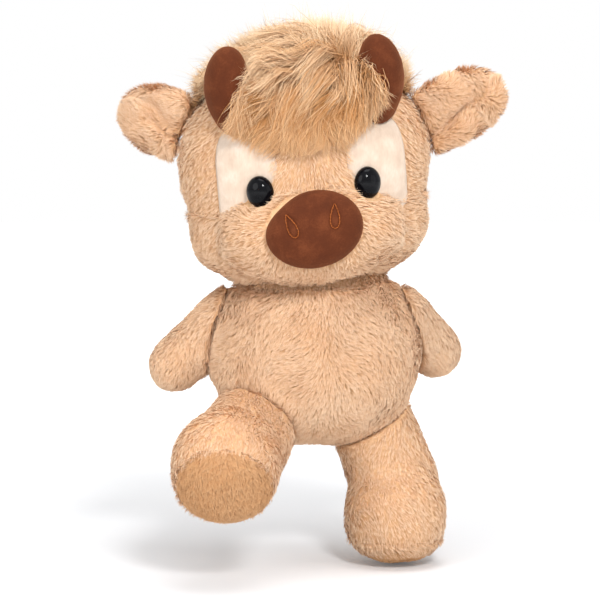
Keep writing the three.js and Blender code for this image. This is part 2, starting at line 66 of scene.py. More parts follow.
# The toy's own measures, as in the solids
TOY = Vector((1.867, 22.085, 0))
HEAD = (
    Matrix.Translation(TOY + Vector((-3.5, 0, 204.5)))
    @ Matrix.Rotation(math.radians(-5), 4, "Y")
    @ Matrix.Rotation(math.radians(2), 4, "Z")
)
CROWN = np.array([77, 64, 67])
CROWN_DROP = 70
CROWN_AT = np.array([0, 0, 36])
CHEEK = np.array([74, 60, 54])
CHEEK_DROP = 37
SNOUT = (58, 42, 31)
SNOUT_AT = (0, -38, -3)
BROW = 2.5
PATCH_INNER = 20
PATCH_OUTER = 55
PATCH_TOP = 61
PATCH_WAIST = 36
PATCH_CORNER = 12
EYE = (8, 9.5, 6.2)
EYE_OUT = 31
EYE_UP = 23
NOSE_AT = HEAD @ Matrix.Translation((0, -73, 0)) @ Matrix.Rotation(math.radians(-8), 4, "Y")
NOSE = (28, 12, 22)
SIDES = {"left": -1, "right": 1}
LEG_FRAMES = {
    "left": Matrix.Translation(TOY + Vector((-19.5, 0, 123.5))) @ Matrix.Rotation(math.radians(-54), 4, "X"),
    "right": Matrix.Translation(TOY + Vector((19.5, 0, 123.5))),
}
SOLE_SEAM = -107.5
SIDE_SEAM = 22 * MM


# Making meshes

def only(obj):
    """This object alone selected and active."""
    bpy.ops.object.select_all(action="DESELECT")
    obj.select_set(True)
    bpy.context.view_layer.objects.active = obj


def new_object(name, data):
    obj = bpy.data.objects.new(name, data)
    bpy.context.scene.collection.objects.link(obj)
    return obj


def finish_modifier(obj, kind, **settings):
    """Adds a modifier with its settings and applies it."""
    modifier = obj.modifiers.new(kind.lower(), kind)
    for key, value in settings.items():
        setattr(modifier, key, value)
    only(obj)
    bpy.ops.object.modifier_apply(modifier=modifier.name)
    return obj


def relax(obj, rounds):
    """Evens out what is uneven in a mesh, in this many rounds."""
    return finish_modifier(obj, "SMOOTH", factor=0.5, iterations=rounds)


def smooth(obj):
    only(obj)
    bpy.ops.object.shade_smooth()
    return obj


def object_of(name, bm):
    """A new object with what this bmesh holds."""
    mesh = bpy.data.meshes.new(name)
    bm.to_mesh(mesh)
    bm.free()
    return new_object(name, mesh)


def merged(name, nodes):
    """A new object with the meshes of these CAD nodes, their doubles merged."""
    bm = bmesh.new()
    for node in nodes:
        bm.from_mesh(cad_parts[node].data)
    bmesh.ops.remove_doubles(bm, verts=bm.verts, dist=1e-6)
    return object_of(name, bm)


def keep_largest(obj):
    """Only the outer shell of a remeshed form, without what is left of the gaps inside."""
    bm = bmesh.new()
    bm.from_mesh(obj.data)
    bm.verts.ensure_lookup_table()
    seen, best = set(), []
    for start in bm.verts:
        if start.index in seen:
            continue
        shell, queue = [], [start]
        seen.add(start.index)
        while queue:
            v = queue.pop()
            shell.append(v)
            for e in v.link_edges:
                other = e.other_vert(v)
                if other.index not in seen:
                    seen.add(other.index)
                    queue.append(other)
        if len(shell) > len(best):
            best = shell
    kept = set(best)
    bmesh.ops.delete(bm, geom=[v for v in bm.verts if v not in kept], context="VERTS")
    bm.to_mesh(obj.data)
    bm.free()
    return obj


def of_vertices(mesh, kind):
    found = np.empty(len(mesh.vertices) * 3, np.float32)
    mesh.vertices.foreach_get(kind, found)
    return found.reshape(-1, 3).astype(float)


def coordinates(mesh):
    return of_vertices(mesh, "co")


def normals_of(mesh):
    return of_vertices(mesh, "normal")


def place(mesh, co):
    mesh.vertices.foreach_set("co", co.astype(np.float32).ravel())
    mesh.update()


def unit(v):
    return v / np.maximum(np.linalg.norm(v, axis=-1, keepdims=True), 1e-9)


def waves(points, size, seed, count=20):
    """A smooth random value from about -1 to 1 at each point, with hills about this size, in metres."""
    rng = np.random.default_rng(seed)
    ways = unit(rng.normal(size=(count, 3))) * (2 * math.pi / (size * rng.uniform(0.7, 1.7, count)))[:, None]
    return np.sin(points @ ways.T + rng.uniform(0, 2 * math.pi, count)).sum(1) * math.sqrt(1 / count)


def tree_of(obj):
    mesh = obj.data
    return BVHTree.FromPolygons([v.co for v in mesh.vertices], [p.vertices for p in mesh.polygons])


def closeness(points, others, start, full):
    """From 0 to 1, how close each point is to another piece: 0 from start, 1 within full, in mm."""
    gap = np.full(len(points), float(start))
    for other in others:
        tree = tree_of(other)
        for i, p in enumerate(points):
            hit = tree.find_nearest(p, start * MM)
            if hit[3] is not None:
                gap[i] = min(gap[i], hit[3] / MM)
    return np.clip((start - gap) / (start - full), 0, 1)


def puff(obj, cap, held):
    """Puffs and slackens a form by cloth pressure, about its own surface and by at most this cap."""
    rest = coordinates(obj.data)
    cloth = obj.modifiers.new("cloth", "CLOTH")
    cloth.settings.use_pressure = True
    cloth.settings.uniform_pressure_force = 4
    cloth.settings.effector_weights.gravity = 0
    cloth.settings.quality = 4
    scene = bpy.context.scene
    for step in range(1, 21):
        scene.frame_set(step)
    puffed = obj.evaluated_get(bpy.context.evaluated_depsgraph_get())
    moved = coordinates(puffed.data) - rest
    obj.modifiers.clear()
    scene.frame_set(1)
    out = normals_of(obj.data)
    moved = moved - out * np.median((moved * out).sum(1))
    reach = np.linalg.norm(moved, axis=1, keepdims=True)
    moved = moved * np.minimum(1, cap / np.maximum(reach, 1e-9)) * (1 - held[:, None])
    place(obj.data, rest + moved)
    relax(obj, 2)


def stuffed(name, nodes, voxel, sunk, cap=2.5 * MM, near=(), fine=False):
    """A stuffed form in the space of its CAD solids: remeshed, puffed by cloth and sunk by the pile's height.
    Where another piece's solid is close it keeps to its own, and a fine one is subdivided once."""
    obj = merged(name, nodes)
    finish_modifier(obj, "REMESH", mode="VOXEL", voxel_size=voxel)
    keep_largest(obj)
    relax(obj, 8)
    held = closeness(coordinates(obj.data), [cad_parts[node] for node in near], start=10, full=1.5)
    if cap:
        puff(obj, cap, held)
    depth = sunk * (1 - 0.8 * held ** 2)
    place(obj.data, coordinates(obj.data) - normals_of(obj.data) * depth[:, None])
    relax(obj, 2)
    if fine:
        finish_modifier(obj, "SUBSURF", levels=1, render_levels=1)
    return smooth(obj)


def split_off(obj, name, chosen):
    """Moves the faces whose middles are chosen into a new object."""
    bm = bmesh.new()
    bm.from_mesh(obj.data)
    middles = np.array([f.calc_center_median() for f in bm.faces])
    mask = chosen(middles)
    other = bm.copy()
    bm.faces.ensure_lookup_table()
    other.faces.ensure_lookup_table()
    bmesh.ops.delete(bm, geom=[f for f, hit in zip(bm.faces, mask) if hit], context="FACES")
    bmesh.ops.delete(other, geom=[f for f, hit in zip(other.faces, mask) if not hit], context="FACES")
    bm.to_mesh(obj.data)
    bm.free()
    made = object_of(name, other)
    for piece in (obj, made):
        finish_modifier(piece, "SOLIDIFY", thickness=1.5 * MM, offset=-1)
        smooth(piece)
    return made


# Materials

def linear(code):
    """An sRGB hex colour as linear light."""
    channels = [int(code[i:i + 2], 16) / 255 for i in (1, 3, 5)]
    return [c / 12.92 if c <= 0.04045 else ((c + 0.055) / 1.055) ** 2.4 for c in channels] + [1]


def wire(tree, node, links):
    """Sets a node's inputs to values or links them to outputs."""
    for key, value in links.items():
        if isinstance(value, bpy.types.NodeSocket):
            tree.links.new(value, node.inputs[key])
        else:
            node.inputs[key].default_value = value


def add(tree, kind, settings=None, links=None):
    """Adds a node with its settings and wires its inputs."""
    node = tree.nodes.new(kind)
    for key, value in (settings or {}).items():
        setattr(node, key, value)
    wire(tree, node, links or {})
    return node


def reckon(tree, operation, *values):
    """What one operation makes of some values."""
    return add(tree, "ShaderNodeMath", {"operation": operation}, dict(enumerate(values))).outputs[0]


def mixed(tree, share, one, other):
    """A colour between two."""
    return add(tree, "ShaderNodeMix", {"data_type": "RGBA"}, {0: share, 6: one, 7: other}).outputs[2]


def ranged(tree, value, low, high):
    """A value from 0 to 1 as one from low to high."""
    return add(tree, "ShaderNodeMapRange", links={"Value": value, "To Min": low, "To Max": high}).outputs[0]


def noise(tree, place_in, size, detail, rough=0.5):
    """A noise whose grains are about this size, in mm."""
    links = {"Vector": place_in, "Scale": 1 / (size * MM), "Detail": detail, "Roughness": rough}
    return add(tree, "ShaderNodeTexNoise", links=links).outputs["Fac"]


def relief(tree, height, distance, strength):
    """The way out of a surface with a relief of this height, in mm."""
    links = {"Height": height, "Distance": distance * MM, "Strength": strength}
    return add(tree, "ShaderNodeBump", links=links).outputs["Normal"]


def on_object(tree):
    return add(tree, "ShaderNodeTexCoord").outputs["Object"]


def ramp(tree, value, stops):
    """Colours along a value, from pairs of place and hex colour."""
    node = add(tree, "ShaderNodeValToRGB", links={"Fac": value})
    elements = node.color_ramp.elements
    while len(elements) < len(stops):
        elements.new(0.5)
    for element, (at, code) in zip(elements, stops):
        element.position = at
        element.color = linear(code)
    return node.outputs["Color"]


def material(name):
    made = bpy.data.materials.new(name)
    made.use_nodes = True
    tree = made.node_tree
    tree.nodes.clear()
    shader = add(tree, "ShaderNodeBsdfPrincipled")
    add(tree, "ShaderNodeOutputMaterial", links={"Surface": shader.outputs["BSDF"]})
    return made, tree, shader


def pile_material(name, root, low, high, tip, sheen=0.25):
    """Polyester pile, dyed and brushed: darker and warmer at the root, which is painted shade for the pile's
    depth, paler at the tip, which is painted light, and each hair in its own tone."""
    made, tree, shader = material(name)
    spot = add(tree, "ShaderNodeUVMap", {"uv_map": "OFBake"})
    parts = add(tree, "ShaderNodeSeparateXYZ", links={"Vector": spot.outputs["UV"]})
    across, along = parts.outputs["X"], parts.outputs["Y"]
    shaft = ramp(tree, across, [(0.0, low), (1.0, high)])
    # Painted shade: the root colour holds near the root, for the shade deep in the pile
    grown = ramp(tree, along, [(0.0, "#000000"), (0.55, "#c8c8c8"), (1.0, "#ffffff")])
    body = mixed(tree, grown, linear(root), shaft)
    # Painted light: the tip paler, as if lit
    painted_tip_light = reckon(tree, "MULTIPLY", reckon(tree, "POWER", along, 3.0), 0.6)
    wire(tree, shader, {
        "Base Color": mixed(tree, painted_tip_light, body, linear(tip)), "Roughness": 0.8, "Specular IOR Level": 0.25,
        "Sheen Weight": sheen, "Sheen Roughness": 0.5, "Sheen Tint": linear(tip),
    })
    return made


def backing_material(name, deep, pale, grain):
    """Knitted backing seen between the hairs: matt, with the nap's soft streaks of this grain, in mm."""
    made, tree, shader = material(name)
    nap = noise(tree, on_object(tree), grain, 3.0)
    wire(tree, shader, {
        "Base Color": ramp(tree, nap, [(0.3, deep), (0.7, pale)]),
        "Normal": relief(tree, nap, grain / 2, 0.5), "Roughness": 0.95, "Specular IOR Level": 0.1,
    })
    return made


def suede_material(name, deep, mid, pale):
    """Faux suede, woven microfibre brushed to a nap: matt, cloudy where fingers have turned the nap, with a
    fine grain."""
    made, tree, shader = material(name)
    place_in = on_object(tree)
    cloud = noise(tree, place_in, 11, 4.0, 0.6)
    grit = noise(tree, place_in, 1.1, 4.0, 0.7)
    total = reckon(tree, "MULTIPLY_ADD", grit, 0.5, cloud)
    wire(tree, shader, {
        "Base Color": ramp(tree, total, [(0.4, deep), (0.75, mid), (1.0, pale)]),
        "Normal": relief(tree, grit, 0.4, 0.5), "Roughness": 0.9, "Specular IOR Level": 0.15,
        "Sheen Weight": 0.35, "Sheen Roughness": 0.45, "Sheen Tint": linear("#d08a5c"),
    })
    return made


def velboa_material(name):
    """Velboa, warp-knitted and sheared to a pile of 2 mm: pale and soft, with a faint nap."""
    made, tree, shader = material(name)
    place_in = on_object(tree)
    cloud = noise(tree, place_in, 9, 3.0)
    stretch = add(tree, "ShaderNodeMapping", links={"Vector": place_in, "Scale": (1.0, 1.0, 0.35)})
    nap = noise(tree, stretch.outputs["Vector"], 1.2, 3.0)
    total = reckon(tree, "MULTIPLY_ADD", nap, 0.4, cloud)
    wire(tree, shader, {
        "Base Color": ramp(tree, total, [(0.4, "#d2b9a4"), (0.75, "#dfcab6"), (1.0, "#ead8c8")]),
        "Normal": relief(tree, nap, 0.5, 0.35), "Roughness": 0.9, "Specular IOR Level": 0.15,
        "Sheen Weight": 0.15, "Sheen Roughness": 0.5, "Sheen Tint": linear("#fff3e4"),
    })
    return made


def eye_material(name):
    """Black acrylic, moulded and tumbled to a gloss: a hard highlight, with faint haze from handling."""
    made, tree, shader = material(name)
    haze = noise(tree, on_object(tree), 3, 2.0)
    wire(tree, shader, {
        "Base Color": ramp(tree, haze, [(0.3, "#07070a"), (0.8, "#101014")]),
        "Roughness": ranged(tree, haze, 0.02, 0.07), "IOR": 1.49, "Specular IOR Level": 0.12,
    })
    return made


def washer_material(name):
    """Natural polypropylene, moulded: milky, with a faint satin flow."""
    made, tree, shader = material(name)
    flow = noise(tree, on_object(tree), 2, 2.0)
    wire(tree, shader, {
        "Base Color": ramp(tree, flow, [(0.3, "#dfdfd8"), (0.8, "#f0efea")]),
        "Roughness": ranged(tree, flow, 0.4, 0.55), "IOR": 1.49,
    })
    return made


def thread_material(name):
    """Trilobal polyester embroidery thread, twisted: a soft shine in streaks along each stitch."""
    made, tree, shader = material(name)
    ply = noise(tree, on_object(tree), 0.6, 2.0)
    wire(tree, shader, {
        "Base Color": ramp(tree, ply, [(0.3, "#7a3d16"), (0.55, "#9a5120"), (0.8, "#b5672c")]),
        "Roughness": 0.55, "Specular IOR Level": 0.2,
    })
    return made


TAN = pile_material("plush_pile_brushed", "#dba878", "#e8b486", "#fcdcba", "#ffe8ce", sheen=0.4)
SOLE = pile_material("sole_pile_combed", "#c48a58", "#cf9763", "#eec396", "#ecc69c")
MANE = pile_material("long_pile_faux_fur", "#b0763f", "#cd935a", "#ffe3bf", "#f6d6ac", sheen=0.35)
BACKING = backing_material("knitted_backing_tan", "#d9ab7e", "#ecc39a", 2.5)
SUEDE = suede_material("faux_suede_brushed", "#4d2413", "#5a2c17", "#6c381f")
VELBOA = velboa_material("velboa_sheared_cream")
ACRYLIC = eye_material("acrylic_moulded_black")
POLYPROPYLENE = washer_material("polypropylene_moulded_natural")
THREAD = thread_material("polyester_thread_twisted")


def finished(obj, body, finish, nodes=()):
    """Sets a piece on its body with its finish, and hides the CAD parts that it stands for."""
    obj.data.materials.clear()
    obj.data.materials.append(finish)
    if body:
        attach(obj, body)
    if nodes:
        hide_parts(*nodes)
    return obj


# Pile and long hair

def ribbon_mesh(name, paths, across, out, tone):
    """Hairs as flat ribbons with a pointed tip. paths is hairs x points x 3, across the half widths, out the
    way each faces, and tone where each is between the pile's two colours."""
    sliver = 0.006
    tone = np.clip(tone, 0.02, 0.98)
    count, steps = paths.shape[:2]
    edges = [paths[:, :-1] - across, paths[:, :-1] + across]
    points = np.concatenate([np.stack(edges, 2).reshape(count, -1, 3), paths[:, -1:]], 1)
    each = points.shape[1]
    quads = [[2 * k, 2 * k + 1, 2 * k + 3, 2 * k + 2] for k in range(steps - 2)]
    last = 2 * (steps - 2)
    pattern = np.array(quads).reshape(-1)
    starts = np.arange(count)[:, None] * each
    loops = np.concatenate([starts + pattern, starts + np.array([last, last + 1, last + 2])], 1).ravel()
    sizes = np.tile([4] * (steps - 2) + [3], count)
    mesh = bpy.data.meshes.new(name)
    mesh.vertices.add(count * each)
    mesh.vertices.foreach_set("co", points.astype(np.float32).ravel())
    mesh.loops.add(len(loops))
    mesh.loops.foreach_set("vertex_index", loops.astype(np.int32))
    mesh.polygons.add(len(sizes))
    mesh.polygons.foreach_set("loop_start", np.concatenate([[0], np.cumsum(sizes)[:-1]]).astype(np.int32))
    mesh.update(calc_edges=True)
    spot = np.empty((count, each, 2))
    v = np.arange(steps) / (steps - 1)
    spot[:, :-1, 1] = np.repeat(v[:-1], 2)
    spot[:, -1, 1] = 1
    spot[:, :-1:2, 0] = tone[:, None] - sliver
    spot[:, 1:-1:2, 0] = tone[:, None] + sliver
    spot[:, -1, 0] = tone
    layer = mesh.uv_layers.new(name="OFBake")
    layer.data.foreach_set("uv", spot.reshape(-1, 2)[loops].astype(np.float32).ravel())
    mesh.polygons.foreach_set("use_smooth", np.ones(len(sizes), bool))
    facing = np.repeat(out, each, 0)
    mesh.normals_split_custom_set_from_vertices(facing.astype(np.float32))
    return mesh


def roots_on(obj, count, seed, keep=None):
    """Random roots over a mesh, with the way out at each. keep says, for middles and normals, how densely it
    grows."""
    mesh = obj.data
    mesh.calc_loop_triangles()
    corners = np.empty(len(mesh.loop_triangles) * 3, np.int32)
    mesh.loop_triangles.foreach_get("vertices", corners)
    corners = corners.reshape(-1, 3)
    co, normals = coordinates(mesh), normals_of(mesh)
    a, b, c = (co[corners[:, k]] for k in range(3))
    weight = np.linalg.norm(np.cross(b - a, c - a), axis=1)
    if keep is not None:
        weight = weight * keep((a + b + c) / 3, unit(np.cross(b - a, c - a)))
    rng = np.random.default_rng(seed)
    face = rng.choice(len(corners), size=count, p=weight / weight.sum())
    r, s = rng.random((2, count))
    r = np.sqrt(r)
    share = np.stack([1 - r, r * (1 - s), r * s], 1)[:, :, None]
    roots = (co[corners[face]] * share).sum(1)
    out = unit((normals[corners[face]] * share).sum(1))
    return roots, out, rng


def nearest(centres, points):
    tree = KDTree(len(centres))
    for i, p in enumerate(centres):
        tree.insert(p, i)
    tree.balance()
    return np.array([tree.find(p)[1] for p in points])


def turned(v, axis, angle):
    """Vectors turned about axes, each by its own angle."""
    c, s = np.cos(angle)[:, None], np.sin(angle)[:, None]
    return v * c + np.cross(axis, v) * s + axis * (axis * v).sum(1, keepdims=True) * (1 - c)


def laid(way, out):
    """Ways laid flat on the surface, each of length 1."""
    return unit(way - out * (way * out).sum(1, keepdims=True))


def raised(way, out, rise):
    """Ways that lie on the surface, raised off it by these angles."""
    return way * np.cos(rise)[:, None] + out * np.sin(rise)[:, None]


def pile(name, body, base, count, flow, seed, *, length=5.4, lift=21, pull=0.27, swirl=25, swirl_size=30,
         keep=None, finish=TAN, tone=0.55, near=(), paint=None):
    """Short hair over a base: lying along the flow, in clumps whose tips draw together, and shorter and more
    upright near other pieces, where the piles of both meet. Sizes in mm, angles in degrees."""
    width, clump, shade, facing = 0.36, 6, 0.13, 0.85
    roots, out, rng = roots_on(base, count, seed, keep)
    way = laid(flow(roots, out), out)
    way = turned(way, out, np.radians(swirl) * waves(roots, swirl_size * MM, seed + 1))
    pick = rng.choice(count, count // clump, replace=False)
    owner = pick[nearest(roots[pick], roots)]
    close = closeness(roots, near, start=8, full=1) if near else np.zeros(count)
    own_way = turned(way, out, rng.normal(0, np.radians(9), count))
    rise = np.radians(lift + 8 * close ** 2 + rng.normal(0, 4, count) + 5 * waves(roots, 14 * MM, seed + 2))
    lead_way = turned(way, out, rng.normal(0, np.radians(14), count))
    lead_rise = rise + rng.normal(0, np.radians(7), count)
    size = length * MM * rng.uniform(0.8, 1.12, count) * (1 - 0.45 * close ** 2)
    tips = roots + raised(own_way, out, rise) * size[:, None]
    lead = roots + raised(lead_way, out, lead_rise) * (length * MM)
    tips = tips + (lead[owner] - tips) * pull * rng.uniform(0.5, 1, count)[:, None]
    bow = out * (size * 0.12)[:, None]
    middle = roots + (tips - roots) * 0.5 + bow + (lead[owner] - tips) * 0.1
    start = roots - out * 0.4 * MM
    paths = np.stack([start, middle, tips], 1)
    along = unit(tips - start)
    flat = turned(unit(np.cross(along, out)), along, rng.uniform(-0.9, 0.9, count))
    face = unit(np.cross(flat, along))
    outward = np.sign((face * out).sum(1, keepdims=True))
    flat, face = flat * outward, face * outward
    widths = width * MM * rng.uniform(0.75, 1.25, count)
    across = flat[:, None] * np.array([0.4, 0.5])[None, :, None] * widths[:, None, None]
    tones = tone + 0.1 * rng.normal(0, 1, count) + shade * waves(roots, 26 * MM, seed + 3)
    tones += 0.09 * rng.normal(0, 1, count)[owner]
    if paint:
        tones += paint(roots)
    mesh = ribbon_mesh(name, paths, across, unit(out * facing + face * (1 - facing)), tones)
    return finished(new_object(name, mesh), body, finish)


# Camera, floor and light

def aim(obj, target):
    obj.rotation_euler = (Vector(target) - obj.location).to_track_quat("-Z", "Y").to_euler()


def make_camera():
    data = bpy.data.cameras.new("camera")
    data.lens = LENS
    data.sensor_width = 36
    camera = new_object("camera", data)
    camera.location = TARGET + Vector((0, -math.cos(CAMERA_RISE), math.sin(CAMERA_RISE))) * CAMERA_BACK
    aim(camera, TARGET)
    bpy.context.scene.camera = camera


def lamp(name, at, target, size, power):
    """A round white lamp, its size in metres and its power in watts."""
    data = bpy.data.lights.new(name, "AREA")
    data.shape = "DISK"
    data.size = size
    data.energy = power
    obj = new_object(name, data)
    obj.location = at
    aim(obj, target)


def seen_itself(tree):
    """1 where a thing is itself seen, also in a gloss or through glass, and 0 where it only lights others."""
    rays = add(tree, "ShaderNodeLightPath").outputs
    seen = reckon(tree, "MAXIMUM", rays["Is Camera Ray"], rays["Is Glossy Ray"])
    return reckon(tree, "MAXIMUM", seen, rays["Is Transmission Ray"])


def make_floor():
    """A white floor that brightens away from the toy until it is the background's white."""
    bpy.ops.object.select_all(action="DESELECT")
    bpy.ops.mesh.primitive_plane_add(size=12, location=(0, 0, -0.3 * MM))
    floor = bpy.context.object
    floor.name = "floor"
    bpy.ops.object.transform_apply(location=True, rotation=True, scale=True)
    made, tree, shader = material("floor_white")
    away = add(tree, "ShaderNodeVectorMath", {"operation": "LENGTH"}, {0: on_object(tree)})
    glow = add(
        tree, "ShaderNodeMapRange", {"interpolation_type": "SMOOTHSTEP"},
        {"Value": away.outputs["Value"], "From Min": 0.22, "From Max": 0.9, "To Min": 0.09, "To Max": 1.0},
    )
    wire(tree, shader, {
        "Base Color": linear("#f1f2f4"), "Roughness": 1.0, "Specular IOR Level": 0.0,
        "Emission Color": linear("#ffffff"),
        "Emission Strength": reckon(tree, "MULTIPLY", seen_itself(tree), glow.outputs[0]),
    })
    floor.data.materials.append(made)


def make_room():
    """A studio all round: white where it is seen, and dimmer as a light."""
    world = bpy.data.worlds.new("studio")
    bpy.context.scene.world = world
    world.use_nodes = True
    tree = world.node_tree
    tree.nodes.clear()
    room = add(tree, "ShaderNodeBackground", links={"Color": linear("#ffffff"), "Strength": 0.48}).outputs[0]
    white = add(tree, "ShaderNodeBackground", links={"Color": linear("#ffffff"), "Strength": 1.0}).outputs[0]
    both = add(tree, "ShaderNodeMixShader", links={0: seen_itself(tree), 1: room, 2: white})
    add(tree, "ShaderNodeOutputWorld", links={"Surface": both.outputs[0]})


make_camera()
make_floor()
make_room()
lamp("key", (0.3, -1.25, 0.85), (0, 0, 0.17), 0.28, 12.5)
lamp("fill", (-0.9, -0.9, 0.6), (0, 0, 0.15), 0.9, 5.5)
lamp("top", (0.1, -0.25, 1.4), (0, 0, 0.2), 0.9, 8)
lamp("side", (1.0, -0.6, 0.35), (0, 0, 0.15), 0.8, 1.2)


# The head's own measures, in its own frame

def to_head(points):
    """World points, in metres, in the head's frame in mm."""
    inverse = np.array(HEAD.inverted())
    return (points / MM) @ inverse[:3, :3].T + inverse[:3, 3]


def from_head(points):
    """Points in the head's frame, in mm, as world points."""
    matrix = np.array(HEAD)
    return (np.asarray(points) @ matrix[:3, :3].T + matrix[:3, 3]) * MM


def turned_from_head(ways):
    return np.asarray(ways) @ np.array(HEAD)[:3, :3].T


def crown_height(z):
    """The crown's half height at heights on it, which is less above its middle than below."""
    return np.where(np.asarray(z) > CROWN_AT[2], CROWN[2], CROWN_DROP)


def crown_y(x, z, sunk=0):
    """How far forward the crown is at a place on the brow."""
    a, b, c = CROWN[0] - sunk, CROWN[1] - sunk, crown_height(z) - sunk
    return -b * np.sqrt(np.maximum(1 - (x / a) ** 2 - ((z - CROWN_AT[2]) / c) ** 2, 0))


def crown_level(p):
    """Less than 1 inside the crown's form, 1 on it."""
    q = p - CROWN_AT
    c = crown_height(p[:, 2])
    return np.sqrt((q[:, 0] / CROWN[0]) ** 2 + (q[:, 1] / CROWN[1]) ** 2 + (q[:, 2] / c) ** 2)


def cheek_level(p):
    """Less than 1 inside the form of the cheeks and the snout, 1 on it."""
    x, y, z = p.T
    c = np.where(z > 0, CHEEK[2], CHEEK_DROP)
    cheek = np.sqrt((x / CHEEK[0]) ** 2 + (y / CHEEK[1]) ** 2 + (z / c) ** 2)
    y, z = (y - SNOUT_AT[1]) / SNOUT[1], (z - SNOUT_AT[2]) / SNOUT[2]
    snout = np.sqrt((x / SNOUT[0]) ** 2 + y ** 2 + z ** 2)
    return np.minimum(cheek, snout)


def patch_edges(z):
    """The eye patch's inner and outer edge, from the brow's middle, at heights on the brow."""
    rise = np.clip((z - PATCH_WAIST) / (PATCH_TOP - PATCH_WAIST), 0, 1)
    # both corners are quadratic curves from the waist to the top
    bend = PATCH_CORNER * (1 - np.sqrt(1 - rise)) ** 2
    return PATCH_INNER + bend, PATCH_OUTER - bend


def in_patch(p, grow):
    """Which places on the head are in an eye patch, grown by this many mm."""
    inner, outer = patch_edges(p[:, 2])
    on_brow = (p[:, 2] < PATCH_TOP + grow) & (p[:, 1] < 0) & (cheek_level(p) > 1)
    inside = np.zeros(len(p), bool)
    for side in SIDES.values():
        x = side * (p[:, 0] - BROW)
        inside |= (x > inner - grow) & (x < outer + grow) & on_brow
    return inside


# Head

def in_cheek(middles):
    p = to_head(middles)
    return cheek_level(p) < crown_level(p)


head = stuffed(
    "crown_plush",
    ["crown_skin", "cheek_skin", "head_stuffing", "eye_patch_left", "eye_patch_right"],
    voxel=3.6 * MM, sunk=2.6 * MM, near=["torso_skin", "ear_left", "ear_right"], fine=True,
)
cheek = split_off(head, "cheek_plush", in_cheek)
finished(head, "head", BACKING, ["crown_skin"])
finished(cheek, "head", BACKING, ["cheek_skin", "head_stuffing"])


def make_patch(name, side):
    """An eye patch: one panel of velboa over the brow, drawn in a little at its seams and under its eye."""
    rows, columns = 44, 30
    z = np.linspace(-4, PATCH_TOP - 0.3, rows)
    inner, outer = patch_edges(z)
    wide = (outer - inner)[:, None]
    share = np.linspace(0, 1, columns)
    x = BROW + side * (inner[:, None] + wide * share[None])
    zz = np.repeat(z[:, None], columns, 1)
    from_seam = np.minimum(np.minimum(share, 1 - share)[None] * wide, PATCH_TOP - zz)
    from_eye = np.hypot(x - BROW - side * EYE_OUT, zz - EYE_UP)
    swell = 1.5 * (1 - np.exp(-from_seam / 3.5))
    dimple = 1.6 * np.exp(-(from_eye / 11) ** 2)
    y = crown_y(x, zz, 2.4 - swell + dimple)
    points = from_head(np.stack([x, y, zz], -1).reshape(-1, 3))
    mesh = bpy.data.meshes.new(name)
    faces = []
    for i in range(rows - 1):
        for j in range(columns - 1):
            a = i * columns + j
            face = [a, a + 1, a + columns + 1, a + columns]
            faces.append(face if side > 0 else face[::-1])
    mesh.from_pydata(points.tolist(), [], faces)
    obj = new_object(name, mesh)
    finish_modifier(obj, "SOLIDIFY", thickness=1.2 * MM, offset=-1)
    return smooth(obj)


for name, side in SIDES.items():
    patch = make_patch(f"eye_patch_{name}_velboa", side)
    finished(patch, "head", VELBOA, [f"eye_patch_{name}"])


def brow_frame(x, z):
    """The placement at a place on the brow whose +Z points straight out of the crown."""
    y = float(crown_y(x, z))
    c = float(crown_height(z))
    normal = Vector((x / CROWN[0] ** 2, y / CROWN[1] ** 2, (z - CROWN_AT[2]) / c ** 2)).normalized()
    across = Vector((0, 0, 1)).cross(normal).normalized()
    up = normal.cross(across)
    basis = Matrix((across, up, normal)).transposed().to_4x4()
    return HEAD @ Matrix.Translation((x, y, z)) @ basis


def make_eye(name, side):
    """A moulded eye: an oval dome with a rolled rim, flat behind, on its shank."""
    bpy.ops.object.select_all(action="DESELECT")
    bpy.ops.mesh.primitive_uv_sphere_add(segments=48, ring_count=32, radius=1)
    eye = bpy.context.object
    eye.name = name
    x, y, z = coordinates(eye.data).T
    z = np.where(z < 0, np.maximum(z, -0.12) * 1.6, z)
    place(eye.data, np.stack([EYE[0] * x, EYE[1] * y, EYE[2] * z - 0.4], 1))
    bpy.ops.mesh.primitive_cylinder_add(vertices=20, radius=2, depth=13.6, location=(0, 0, -8.2))
    bpy.ops.object.mode_set(mode="EDIT")
    bpy.ops.mesh.select_all(action="SELECT")
    bpy.ops.mesh.bevel(offset=0.4, segments=2)
    bpy.ops.object.mode_set(mode="OBJECT")
    bpy.ops.object.transform_apply(location=True, rotation=True, scale=True)
    eye.select_set(True)
    bpy.context.view_layer.objects.active = eye
    bpy.ops.object.join()
    eye.data.transform(Matrix.Scale(MM, 4) @ brow_frame(BROW + side * EYE_OUT, EYE_UP))
    eye.matrix_world = Matrix.Identity(4)
    return smooth(eye)


for name, side in SIDES.items():
    eye = make_eye(f"eye_{name}_moulded", side)
    finished(eye, "head", ACRYLIC, [f"eye_{name}"])
    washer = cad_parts[f"eye_washer_{name}"]
    washer.data.materials.clear()
    washer.data.materials.append(POLYPROPYLENE)


# Nose and nostrils

def nostril_path(side, steps):
    """The teardrop that the nostril's stitches follow, in the nose's frame."""
    out, height = 12.6, 5
    half_width, half_height = 3.5, 7
    lean = math.radians(12)
    points = []
    for i in range(steps):
        angle = 2 * math.pi * i / steps
        across = half_width * math.sin(angle) * math.sin(angle / 2)
        up = half_height * math.cos(angle)
        x = side * (out + up * math.sin(lean)) + across * math.cos(lean)
        z = height + up * math.cos(lean) - side * across * math.sin(lean)
        points.append((x, z))
    return np.array(points)


def nose_y(x, z):
    """How far forward the nose is: nearly flat in front, and rolled under at its edge."""
    level = np.sqrt(np.minimum((np.asarray(x) / NOSE[0]) ** 2 + (np.asarray(z) / NOSE[2]) ** 2, 1))
    return -NOSE[1] * np.maximum(1 - level ** 2.4, 0) ** (1 / 2.2)


